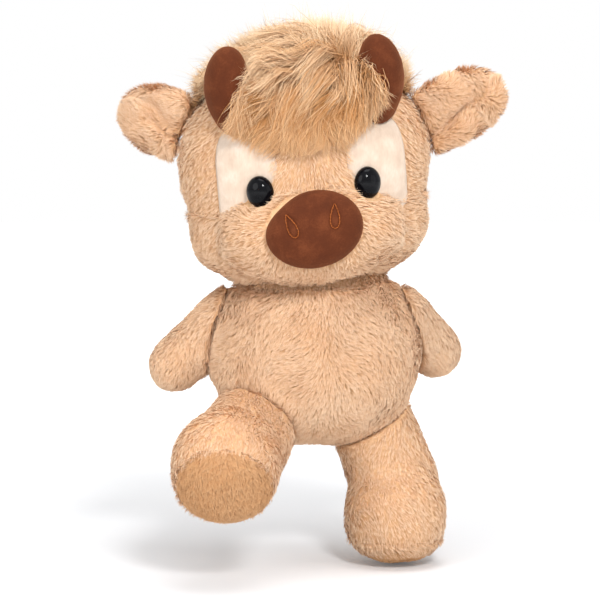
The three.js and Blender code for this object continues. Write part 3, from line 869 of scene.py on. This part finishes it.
def make_nose():
    """The nose: a padded oval of suede, a little slack at its upper left, with the stitches pulled in."""
    slack_at, slack_spread, slack = 128, 30, 0.09
    back, stitch_depth, stitch_width = 6, 0.9, 0.9
    bpy.ops.object.select_all(action="DESELECT")
    upright = (math.radians(90), 0, 0)
    bpy.ops.mesh.primitive_uv_sphere_add(segments=96, ring_count=64, radius=1, rotation=upright)
    nose = bpy.context.object
    nose.name = "nose_pad_suede"
    bpy.ops.object.transform_apply(location=True, rotation=True, scale=True)
    co = coordinates(nose.data)
    front = co[:, 1] < 0
    turn = np.degrees(np.arctan2(co[:, 2], co[:, 0]))
    drawn = 1 - slack * np.exp(-((turn - slack_at) / slack_spread) ** 2)
    x, z = co[:, 0] * NOSE[0], co[:, 2] * NOSE[2]
    y = np.where(front, nose_y(x, z), co[:, 1] * back)
    for side in SIDES.values():
        loop = nostril_path(side, 60)
        gap = np.sqrt(((np.stack([x, z], 1)[:, None] - loop[None]) ** 2).sum(-1)).min(1)
        y = y + np.where(front, stitch_depth * np.exp(-(gap / stitch_width) ** 2), 0)
    place(nose.data, np.stack([x * drawn, y, z * drawn], 1))
    nose.data.transform(Matrix.Scale(MM, 4) @ NOSE_AT)
    return smooth(nose)


def add_stitch(bm, start, end, lean):
    """One plump stitch over the nose, a little aslant: fat in its middle and sunk at its ends."""
    sides = 6
    middle = (start + end) / 2
    size = np.linalg.norm(end - start)
    way = (end - start) / size
    normal = np.array([-way[1], way[0]])
    rings = []
    for t, fat in ((-0.5, 0.1), (-0.3, 0.27), (0, 0.34), (0.3, 0.27), (0.5, 0.1)):
        at = middle + way * size * t + normal * lean * (t * 0.8)
        y = float(nose_y(at[0], at[1])) + 0.25 - 0.35 * (1 - (2 * t) ** 2)
        ring = []
        for q in range(sides):
            a = 2 * math.pi * q / sides
            off = normal * math.cos(a) * fat * 1.1
            ring.append(bm.verts.new((at[0] + off[0], y + math.sin(a) * fat, at[1] + off[1])))
        rings.append(ring)
    for one, two in zip(rings, rings[1:]):
        for q in range(sides):
            after = (q + 1) % sides
            bm.faces.new([one[q], one[after], two[after], two[q]])
    bm.faces.new(rings[0][::-1])
    bm.faces.new(rings[-1])


def make_nostril(name, side):
    """A nostril's outline in back stitch: short plump stitches, each starting before the last one ends."""
    count, step = 24, 6
    loop = nostril_path(side, count * step)
    bm = bmesh.new()
    for k in range(count):
        lean = 0.25 * (1 if k % 2 else -1)
        add_stitch(bm, loop[k * step], loop[(k * step + step + 1) % (count * step)], lean)
    bmesh.ops.recalc_face_normals(bm, faces=bm.faces)
    nostril = object_of(name, bm)
    nostril.data.transform(Matrix.Scale(MM, 4) @ NOSE_AT)
    return smooth(nostril)


finished(make_nose(), "head", SUEDE, ["nose_pad"])
for name, side in SIDES.items():
    finished(make_nostril(f"nostril_{name}_stitches", side), "head", THREAD, [f"nostril_{name}"])


# Horns

def make_horn(name, node):
    """A stuffed horn of suede."""
    horn = merged(name, [node])
    finish_modifier(horn, "REMESH", mode="VOXEL", voxel_size=1.5 * MM)
    keep_largest(horn)
    relax(horn, 10)
    finish_modifier(horn, "SUBSURF", levels=1, render_levels=1)
    return smooth(horn)


horns = {}
for name in SIDES:
    horns[name] = make_horn(f"horn_{name}_suede", f"horn_{name}")
    finished(horns[name], "head", SUEDE, [f"horn_{name}"])


# Torso, limbs, ears and tail

torso = stuffed(
    "torso_plush", ["torso_skin", "torso_stuffing"], voxel=3.2 * MM, sunk=2.6 * MM,
    near=["cheek_skin", "arm_left_skin", "arm_right_skin", "leg_left_skin", "leg_right_skin"],
)
finished(torso, "torso", BACKING, ["torso_skin", "torso_stuffing"])


def seen_at(px, py):
    """Where a place in the picture is over the toy's middle plane: x and z, in metres."""
    return np.array([(px - PICTURE_MIDDLE) * PIXEL + SEEN_X, SEEN_Z - (py - PICTURE_MIDDLE) * PIXEL]) * MM


# Where the ears' folds run in the picture, in pixels, from the tip inward
EAR_FOLD_PIXELS = {
    "left": [(145, 100), (173, 126), (186, 134)],
    "right": [(480, 94), (446, 122), (428, 136)],
}
EAR_FOLDS = {name: [seen_at(*spot) for spot in line] for name, line in EAR_FOLD_PIXELS.items()}


def fold_depth(points, line, width):
    """How near points are to the fold's line, seen from in front: 1 on it, less over this width in mm."""
    seen = points[:, [0, 2]]
    gap = np.full(len(points), 1.0)
    for a, b in zip(line, line[1:]):
        share = np.clip((seen - a) @ (b - a) / ((b - a) @ (b - a)), 0, 1)
        gap = np.minimum(gap, np.linalg.norm(seen - a - share[:, None] * (b - a), axis=1))
    return np.exp(-(gap / (width * MM)) ** 2)


def crease(ear, line):
    """Presses the ear's fold into its front."""
    co, n = coordinates(ear.data), normals_of(ear.data)
    depth = 3.2 * MM
    co[:, 1] += depth * fold_depth(co, line, 4) * np.clip(-n[:, 1] * 1.5, 0, 1)
    place(ear.data, co)
    relax(ear, 2)


def fill_ankle(leg):
    """Fills the raised leg's ankle out towards its hull, as its stuffing and fur do where it bends up."""
    far, most, share = 25 * MM, 14 * MM, 0.75
    bm = bmesh.new()
    bm.from_mesh(leg.data)
    made = bmesh.ops.convex_hull(bm, input=bm.verts)
    inner = [v for v in made["geom_interior"] + made["geom_unused"] if isinstance(v, bmesh.types.BMVert)]
    bmesh.ops.delete(bm, geom=inner, context="VERTS")
    hull = BVHTree.FromBMesh(bm)
    bm.free()
    co, n = coordinates(leg.data), normals_of(leg.data)
    room = np.zeros(len(co))
    for i, (p, way) in enumerate(zip(co, n)):
        hit = hull.ray_cast(Vector(p + way * 0.2 * MM), Vector(way), far)
        if hit[0] is not None:
            room[i] = min(hit[3], most)
    place(leg.data, co + n * (share * room)[:, None])
    relax(leg, 14)


def make_arm(name):
    body = f"arm_{name}"
    nodes = [f"{body}_skin", f"{body}_stuffing"]
    arm = stuffed(f"{body}_plush", nodes, voxel=2.2 * MM, sunk=2.4 * MM, cap=1.5 * MM, near=["torso_skin"])
    return finished(arm, body, BACKING, nodes)


def make_leg(name):
    """A leg, and the panel of its sole, parted at the sole's seam."""
    skin, sole, stuffing = f"leg_{name}_skin", f"foot_{name}_sole", f"leg_{name}_stuffing"
    leg = stuffed(
        f"leg_{name}_plush", [skin, sole, stuffing], voxel=3.2 * MM, sunk=2.4 * MM, cap=2 * MM,
        near=["torso_skin"], fine=True,
    )
    if name == "left":
        fill_ankle(leg)
    inverse = np.array(LEG_FRAMES[name].inverted())

    def below_seam(middles):
        return (middles / MM) @ inverse[2, :3] + inverse[2, 3] < SOLE_SEAM

    panel = split_off(leg, f"foot_{name}_sole_plush", below_seam)
    finished(leg, f"leg_{name}", BACKING, [skin, stuffing])
    finished(panel, f"leg_{name}", BACKING, [sole])
    return leg, panel


def make_ear(name):
    node = f"ear_{name}"
    ear = stuffed(f"{node}_plush", [node], voxel=1.5 * MM, sunk=1.2 * MM, cap=1 * MM, near=["crown_skin"])
    crease(ear, EAR_FOLDS[name])
    return finished(ear, node, BACKING, [node])


arms, legs, soles, ears = {}, {}, {}, {}
for name in SIDES:
    arms[name] = make_arm(name)
    legs[name], soles[name] = make_leg(name)
    ears[name] = make_ear(name)
limbs = [*arms.values(), *legs.values()]

tail = stuffed("tail_plush", ["tail"], voxel=1 * MM, sunk=1 * MM, cap=0)
finished(tail, "tail", BACKING, ["tail"])
tuft = stuffed("tail_tuft_core", ["tail_tuft"], voxel=1.2 * MM, sunk=4 * MM, cap=0)
finished(tuft, "tail", BACKING, ["tail_tuft"])


def make_neck():
    """The neck between the two skins: a padded ring."""
    half_width, half_depth, height, tall, lean = 39, 32, 167, 90, 2.5
    bpy.ops.object.select_all(action="DESELECT")
    bpy.ops.mesh.primitive_torus_add(major_segments=96, minor_segments=20, major_radius=1, minor_radius=0.1)
    neck = bpy.context.object
    neck.name = "neck_plush"
    co = coordinates(neck.data)
    place(neck.data, np.stack([
        (co[:, 0] * half_width + TOY[0] - 2) * MM,
        (co[:, 1] * half_depth + TOY[1]) * MM,
        (co[:, 2] * tall + height + co[:, 0] * lean) * MM,
    ], 1))
    return smooth(neck)


neck = make_neck()


# Pile

def steady(*way):
    """A flow that runs the same way everywhere."""
    return lambda p, n: np.repeat(np.array([way], float), len(p), 0)


def neck_outside(p, n):
    return ((p[:, :2] - np.array(TOY[:2]) * MM) * n[:, :2]).sum(1) > 5 * MM


# The neck's pile has a low tone: painted shade under the chin
neck_pile = pile("neck_pile", None, neck, 10000, steady(0, 0, -1), 15, keep=neck_outside, lift=45, length=5,
                 tone=0.25)
for piece, finish in ((neck, BACKING), (neck_pile, TAN)):
    piece.data.materials.clear()
    piece.data.materials.append(finish)
    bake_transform(piece)

# Where the chest is painted in shade, under the chin and by the shoulder, and paler low on the belly: pixel,
# size in mm, and by how much it is warmer
CHEST_PAINTED_SHADE = ((300, 318, 15, 0.34), (336, 350, 11, 0.3), (250, 300, 12, 0.15), (330, 400, 14, -0.15))


def in_front(p, n=None):
    return p[:, 1] < SIDE_SEAM


def behind(p, n):
    return p[:, 1] >= SIDE_SEAM


def torso_flow(p, n):
    """Down, and outward to both sides."""
    outward = (p[:, 0] - 4 * MM) / (50 * MM) * 0.9
    return np.stack([outward, np.zeros(len(p)), -np.ones(len(p))], 1)


def torso_painted_shade(p):
    """Painted shade: the chest darker and warmer high up, under the chin and beside the whorl, and paler low
    on the belly.
    """
    tone = np.zeros(len(p))
    for px, py, size, depth in CHEST_PAINTED_SHADE:
        x, z = seen_at(px, py)
        tone -= depth * np.exp(-((p[:, 0] - x) ** 2 + (p[:, 2] - z) ** 2) / (size * MM) ** 2)
    return np.where(in_front(p), tone, 0)


pile("torso_pile_front", "torso", torso, 59000, torso_flow, 11, keep=in_front, swirl=45, swirl_size=34,
     length=5.6, pull=0.34, tone=0.46, near=[cheek, *limbs], paint=torso_painted_shade)
pile("torso_pile_back", "torso", torso, 29000, torso_flow, 12, keep=behind, swirl=30, swirl_size=40,
     near=[cheek, *limbs])


def crown_flow(p, n):
    """Down the crown, and outward from the brow's middle."""
    q = to_head(p)
    one = np.ones(len(q))
    return turned_from_head(np.stack([(q[:, 0] - BROW) / 30, 0.2 * one, -one], 1))


def round_eyes(p):
    """Where the fur in front stays clear of the eyes: 0 round them and 1 elsewhere."""
    clear = np.ones(len(p))
    for side in SIDES:
        low, high = (np.array(corner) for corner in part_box(f"eye_{side}"))
        off = (p - (low + high) / 2) / ((high - low) / 2 + 3 * MM)
        clear[(off[:, 0] ** 2 + off[:, 2] ** 2 < 1) & (p[:, 1] < 0)] = 0
    return clear


def thinner_behind(q):
    return np.where(q[:, 1] < 20, 1.0, 0.75)


def crown_keep(p, n):
    """None in the eye patches and round the eyes, and half as much under the forelock."""
    q = to_head(p)
    keep = np.where(in_patch(q, -1.8), 0, 1.0) * round_eyes(p)
    under_mane = (q[:, 2] > 84) & (np.abs(q[:, 0] - BROW) < 60)
    return np.where(under_mane, 0.5, keep) * thinner_behind(q)


def cheek_flow(p, n):
    """Outward and back from the nose, and down on the jaw."""
    q = to_head(p)
    way = np.stack([q[:, 0] / 30, 0.6 + 0 * q[:, 0], (q[:, 2] - 4) / 110 - 0.5], 1)
    return turned_from_head(way)


def cheek_keep(p, n):
    """None under the nose and round the eyes."""
    q = to_head(p)
    under_nose = ((q[:, 0] / 27) ** 2 + (q[:, 2] / 21) ** 2 < 0.9) & (q[:, 1] < -60)
    return np.where(under_nose, 0, 1.0) * round_eyes(p) * thinner_behind(q)


pile("crown_pile", "head", head, 51000, crown_flow, 21, keep=crown_keep, swirl=20, swirl_size=40, length=5,
     tone=0.68, near=list(ears.values()))
pile("cheek_pile", "head", cheek, 58000, cheek_flow, 22, keep=cheek_keep, swirl=25, swirl_size=30, tone=0.63,
     near=[torso])

# Tones per side, with painted light: pieces that the lamps leave in shade, the right arm most, are given a
# paler tone
LEG_TONE_PAINTED_LIGHT = {"left": 0.62, "right": 0.74}
ARM_TONE_PAINTED_LIGHT = {"left": 0.5, "right": 0.72}
SOLE_EDGE = {"left": 0.12, "right": 0.6}
EAR_FRONT = 30 * MM


def leg_axis(name, axis=(0, 0, -1)):
    """A way in a leg's own frame, down the leg if not told otherwise."""
    return np.array(LEG_FRAMES[name].to_3x3() @ Vector(axis))


def leg_flow(name):
    """Down the raised leg and forward, and down the standing one and outward."""
    if name == "left":
        return steady(-0.5, -0.4, -1.1)
    return steady(*leg_axis(name, Matrix.Rotation(math.radians(-20), 3, "Y") @ Vector((0, 0, -1))))


def leg_piles(name, k):
    """The pile of a leg, the combed pile under its foot and the plush that laps over the sole's rim."""
    down, edge = leg_axis(name), SOLE_EDGE[name]

    def under(p, n):
        return n @ down > edge

    def rim(p, n):
        return n @ down < edge + 0.12

    pile(f"leg_{name}_pile", f"leg_{name}", legs[name], 33000, leg_flow(name), 31 + k, swirl=30, length=4.8,
         lift=16, pull=0.13, tone=LEG_TONE_PAINTED_LIGHT[name], near=[torso])
    sole_flow = steady(*leg_axis(name, (0, 1, 0.1)))
    pile(f"foot_{name}_sole_pile", f"leg_{name}", soles[name], 10000, sole_flow, 41 + k, length=4, lift=14,
         pull=0.2, swirl=10, finish=SOLE, tone=0.2, keep=under)
    pile(f"foot_{name}_rim_pile", f"leg_{name}", soles[name], 8000, leg_flow(name), 45 + k, length=4.8,
         lift=19, pull=0.2, swirl=20, tone=0.55, keep=rim)


def ear_pile(name, side, k):
    """An ear's pile, long and tousled, darker and warmer in its fold: painted shade in the crease."""
    def paint(p):
        # Painted shade in the fold, on the ear's front
        return -0.4 * fold_depth(p, EAR_FOLDS[name], 8) * (p[:, 1] < EAR_FRONT)

    pile(f"ear_{name}_pile", f"ear_{name}", ears[name], 15000, steady(side, 0.2, -0.1), 61 + k, length=5.5,
         swirl=50, swirl_size=16, lift=30, tone=0.3, near=[head], paint=paint)


for k, (name, side) in enumerate(SIDES.items()):
    leg_piles(name, k)
    pile(f"arm_{name}_pile", f"arm_{name}", arms[name], 19000, steady(side * 0.6, 0.1, -1), 51 + k, swirl=22,
         tone=ARM_TONE_PAINTED_LIGHT[name], near=[torso])
    ear_pile(name, side, k)

pile("tail_pile", "tail", tail, 3000, steady(0, 0.1, -1), 71, length=4.5)
pile("tail_tuft_pile", "tail", tuft, 5000, steady(0, 0.2, -1), 72, length=11, finish=MANE,
     lift=30)


# Forelock

def crown_out(q):
    """The way out of the crown's form at points in the head's frame."""
    c = crown_height(q[:, 2])
    q = q - CROWN_AT
    return unit(np.stack([q[:, 0] / CROWN[0] ** 2, q[:, 1] / CROWN[1] ** 2, q[:, 2] / c ** 2], 1))


# The forelock's outer form: two ovals, over the crown and over the brow
CAP = np.array([66, 52, 38])
CAP_AT = np.array([BROW, 0, 83])
FRINGE = np.array([44, 18, 33])
FRINGE_AT = np.array([BROW, -51.3, 76])
WHORL = np.array([26, -34, 88])

# How far out from the brow's middle hair may lie over a horn, and by how much more for each mm further down
HORN_COVER = {"left": 31, "right": 39}
HORN_WIDENING = {"left": 0.6, "right": 1.1}


def mane_room(q, out):
    """How far the forelock's outer form stands over the crown, in mm, along the way out at each place. Over
    the brow the hair stands off by a fingertip, so that its lower edge keeps a shadow."""
    fingertip = 6.5
    on_brow = (q[:, 1] < -40) & (np.abs(q[:, 0] - BROW) < 34) & (q[:, 2] < 66)
    best = np.where(on_brow, fingertip, 0.0)
    for size, at in ((CAP, CAP_AT), (FRINGE, FRINGE_AT)):
        start, way = (q - at) / size, out / size
        a, b, c = (way * way).sum(1), (start * way).sum(1), (start * start).sum(1) - 1
        inside = b * b - a * c
        best = np.maximum(best, np.where(inside > 0, (np.sqrt(np.maximum(inside, 0)) - b) / a, 0))
    return best


def onto_crown(q):
    return CROWN_AT + (q - CROWN_AT) / crown_level(q)[:, None]


def mane_roots(rng, count, zone):
    """Roots on the crown, within this zone of the forelock."""
    found = []
    while sum(map(len, found)) < count:
        q = onto_crown(CROWN_AT + unit(rng.normal(size=(count * 3, 3))) * CROWN)
        ok = (mane_room(q, crown_out(q)) > 1.5) & zone(q)
        found.append(q[ok])
    return np.concatenate(found)[:count]


def mane_flow(q, seed, fall):
    """Away from the whorl at the top of the brow, falling, and turned by old tangles."""
    out = crown_out(q)
    way = laid(unit(q - WHORL) + np.array([0, 0, -fall]), out)
    return turned(way, out, np.radians(24) * waves(q, 24, seed))


def edge_ends(local, lowest, rng):
    """At which of its points each hair comes to the forelock's lower edge, which rises to both sides and is
    uneven."""
    off = local[:, :, 0] - BROW
    left_from, left_slope, right_from, right_slope, uneven = 28, 0.85, 20, 0.95, 2.5
    edge = lowest + left_slope * np.maximum(0, -off - left_from)
    edge = edge + right_slope * np.maximum(0, off - right_from)
    below = local[:, :, 2] < edge + rng.normal(0, uneven, len(local))[:, None]
    return np.where(below.any(1), np.maximum(below.argmax(1) - 0.3, 1), local.shape[1] - 1.0)


def meet_horn(paths, local, end, name, rng):
    """Lays the hairs that come on a horn from its inner side over it for a little, and ends the others where
    they meet it."""
    forward = Vector((0, 1, 0))
    cover = HORN_COVER[name] + rng.normal(0, 3.5, len(paths))
    widening = HORN_WIDENING[name] * np.maximum(0, 84 - local[:, :, 2])
    past = SIDES[name] * (local[:, :, 0] - BROW) > cover[:, None] + widening
    low, high = (np.array(corner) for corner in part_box(f"horn_{name}"))
    low[1] -= 30 * MM
    tree = tree_of(horns[name])
    boxed = ((paths > low) & (paths < high)).all(2)
    for i, k in np.argwhere(boxed):
        point = Vector(paths[i, k])
        if past[i, k]:
            if tree.ray_cast(point, forward)[0] is not None:
                end[i] = min(end[i], max(k - 0.6, 0.6))
            continue
        spot, normal, _, _ = tree.find_nearest(point)
        if (point - spot).dot(normal) > -0.3 * MM:
            continue
        front = tree.ray_cast(Vector((point.x, -0.2, point.z)), forward)[0]
        if front is not None:
            paths[i, k:, 1] = np.minimum(paths[i, k:, 1], front.y - rng.uniform(0.6, 3.5) * MM)
            paths[i, k - 1, 1] = min(paths[i, k - 1, 1], (paths[i, k - 1, 1] + front.y) / 2)


def clear_of_horns(paths, lowest, rng):
    """Hairs that keep clear of the horns and end at the forelock's lower edge, which is given in mm up the
    brow, or before a stretch that a horn has torn long."""
    longest = 12.5 * MM
    steps = paths.shape[1]
    local = to_head(paths.reshape(-1, 3)).reshape(paths.shape)
    end = edge_ends(local, lowest, rng)
    for name in SIDES:
        meet_horn(paths, local, end, name, rng)
    span = np.linalg.norm(np.diff(paths[:, 1:], axis=1), axis=2)
    torn = span.max(1) > longest
    end = np.where(torn, np.minimum(end, span.argmax(1) + 1), end)
    at = np.linspace(0, 1, steps)[None] * end[:, None]
    low = np.minimum(at.astype(int), steps - 2)
    share = (at - low)[:, :, None]
    rows = np.arange(len(paths))[:, None]
    return paths[rows, low] * (1 - share) + paths[rows, low + 1] * share


def mane_guides(rng, guides, seed, zone, stand, travel, fall):
    """Guide hairs that rise from the crown and run along the flow, longer and lower behind. stand says how
    high a hair is over the crown along its length, from 0 to 1 of the room that the forelock has."""
    steps = 6
    q = mane_roots(rng, guides, zone)
    size = rng.uniform(*travel, guides)
    lie = np.clip((q[:, 1] - 8) / 34, 0, 1)
    size = size * (1 + 0.9 * lie)
    curl = rng.normal(0, np.radians(24), guides)
    from_whorl = np.linalg.norm(q - WHORL, axis=1)
    layer = np.clip(1.02 - 0.5 * from_whorl / 62 + rng.normal(0, 0.17, guides), 0.25, 1.1)
    path = []
    for k in range(steps):
        share = k / (steps - 1)
        out = crown_out(q)
        path.append(q + out * (mane_room(q, out) * stand(share, layer) * (1 - 0.45 * lie * share))[:, None])
        way = turned(mane_flow(q, seed, fall), out, curl * share)
        q = onto_crown(q + way * (size / (steps - 1))[:, None])
    return np.stack(path, 1)


def locks_round(rng, path, out, spread, pinch):
    """Hairs round their guides, drawn together towards the tips, some of them strays, each bent and waved."""
    count, steps = path.shape[:2]
    share = np.linspace(0, 1, steps)[None, :, None]
    offset = rng.normal(size=(count, 3)) * spread
    offset -= out * (offset * out).sum(1, keepdims=True)
    stray = np.where(rng.random(count) < 0.12, 2.8, 1.0)[:, None, None]
    bend = rng.normal(size=(count, 1, 3)) * 1.9 * share ** 1.5 * stray
    wave = rng.normal(size=(count, 1, 3)) * 0.5
    wave = wave * np.sin(share * math.pi * 2 + rng.uniform(0, 6, (count, 1, 1)))
    reach = rng.uniform(0.7, 1.04, count)[:, None, None]
    base = path[:, :1]
    return base + (path - base) * reach + offset[:, None] * (1 - pinch * share ** 0.8) + bend + wave


def mane(name, guides, each, seed, zone, stand, travel, fall, spread, pinch, tone, lowest=-90):
    """A layer of long tousled hair: guide hairs, each with a lock round it, clear of the horns."""
    rng = np.random.default_rng(seed)
    owner = np.repeat(np.arange(guides), each)
    count = guides * each
    path = mane_guides(rng, guides, seed, zone, stand, travel, fall)[owner]
    out = crown_out(path[:, 0])
    paths = locks_round(rng, path, out, spread, pinch)
    paths = from_head(paths.reshape(-1, 3)).reshape(paths.shape)
    paths = clear_of_horns(paths, lowest, rng)
    along = unit(np.gradient(paths, axis=1))
    out = turned_from_head(out)
    flat = unit(np.cross(along[:, :-1], out[:, None]))
    roll = rng.uniform(-0.9, 0.9, count)[:, None, None]
    flat = flat * np.cos(roll) + np.cross(along[:, :-1], flat) * np.sin(roll)
    face = unit(np.cross(flat[:, 2], along[:, 2]))
    outward = np.sign((face * out).sum(1, keepdims=True))
    flat, face = flat * outward[:, None], face * outward
    shape = np.array([0.8, 1, 0.95, 0.8, 0.55])[None, :, None]
    across = flat * shape * (0.15 * MM * rng.uniform(0.7, 1.3, count))[:, None, None]
    # Painted light and shade: hair is paler the higher it sits on the head, and darker low on the fringe
    paler = np.clip((to_head(paths[:, 3])[:, 2] - 76) / 45, -0.55, 0.4)
    tones = tone + 0.17 * rng.normal(size=guides)[owner] + 0.12 * rng.normal(size=count) + paler
    mesh = ribbon_mesh(name, paths, across, unit(out * 0.7 + face * 0.3), tones)
    return finished(new_object(name, mesh), "head", MANE)


def fringe_zone(q):
    return (q[:, 1] < -20) & (np.abs(q[:, 0] - BROW) < 36) & (q[:, 2] > 60) & (q[:, 2] < 97)


def cap_zone(q):
    return (q[:, 1] > -4) | ((np.abs(q[:, 0] - BROW) < 36) & (q[:, 2] > 84))


def crest_zone(q):
    return (q[:, 1] > -10) & (q[:, 1] < 26) & (q[:, 2] > 76)


def fringe_stand(share, layer):
    return layer * math.sin(min(1, 0.12 + share * 2.2) * math.pi / 2) * (1 - 0.1 * share ** 2)


def cap_stand(share, layer):
    return (0.08 + 1.0 * share) * (0.75 + 0.35 * layer)


def crest_stand(share, layer):
    return (0.1 + 0.98 * share) * (0.85 + 0.2 * layer)


# The fringe is given a lower tone than the cap and the crest: painted shade low on the brow, painted light on
# top
fringe = mane(
    "forelock_fringe", 380, 54, 81, fringe_zone, fringe_stand,
    travel=(24, 42), fall=0.3, spread=3.6, pinch=0.7, tone=0.4, lowest=45,
)
cap = mane(
    "forelock_cap", 620, 31, 82, cap_zone, cap_stand,
    travel=(5, 17), fall=-0.1, spread=3.6, pinch=0.55, tone=0.55,
)
crest = mane(
    "forelock_crest", 400, 38, 83, crest_zone, crest_stand,
    travel=(2, 12), fall=-0.5, spread=3.2, pinch=0.5, tone=0.5,
)
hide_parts("forelock")
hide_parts("forelock")
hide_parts("forelock")

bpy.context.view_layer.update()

scene = bpy.context.scene
scene.view_settings.view_transform = "Standard"
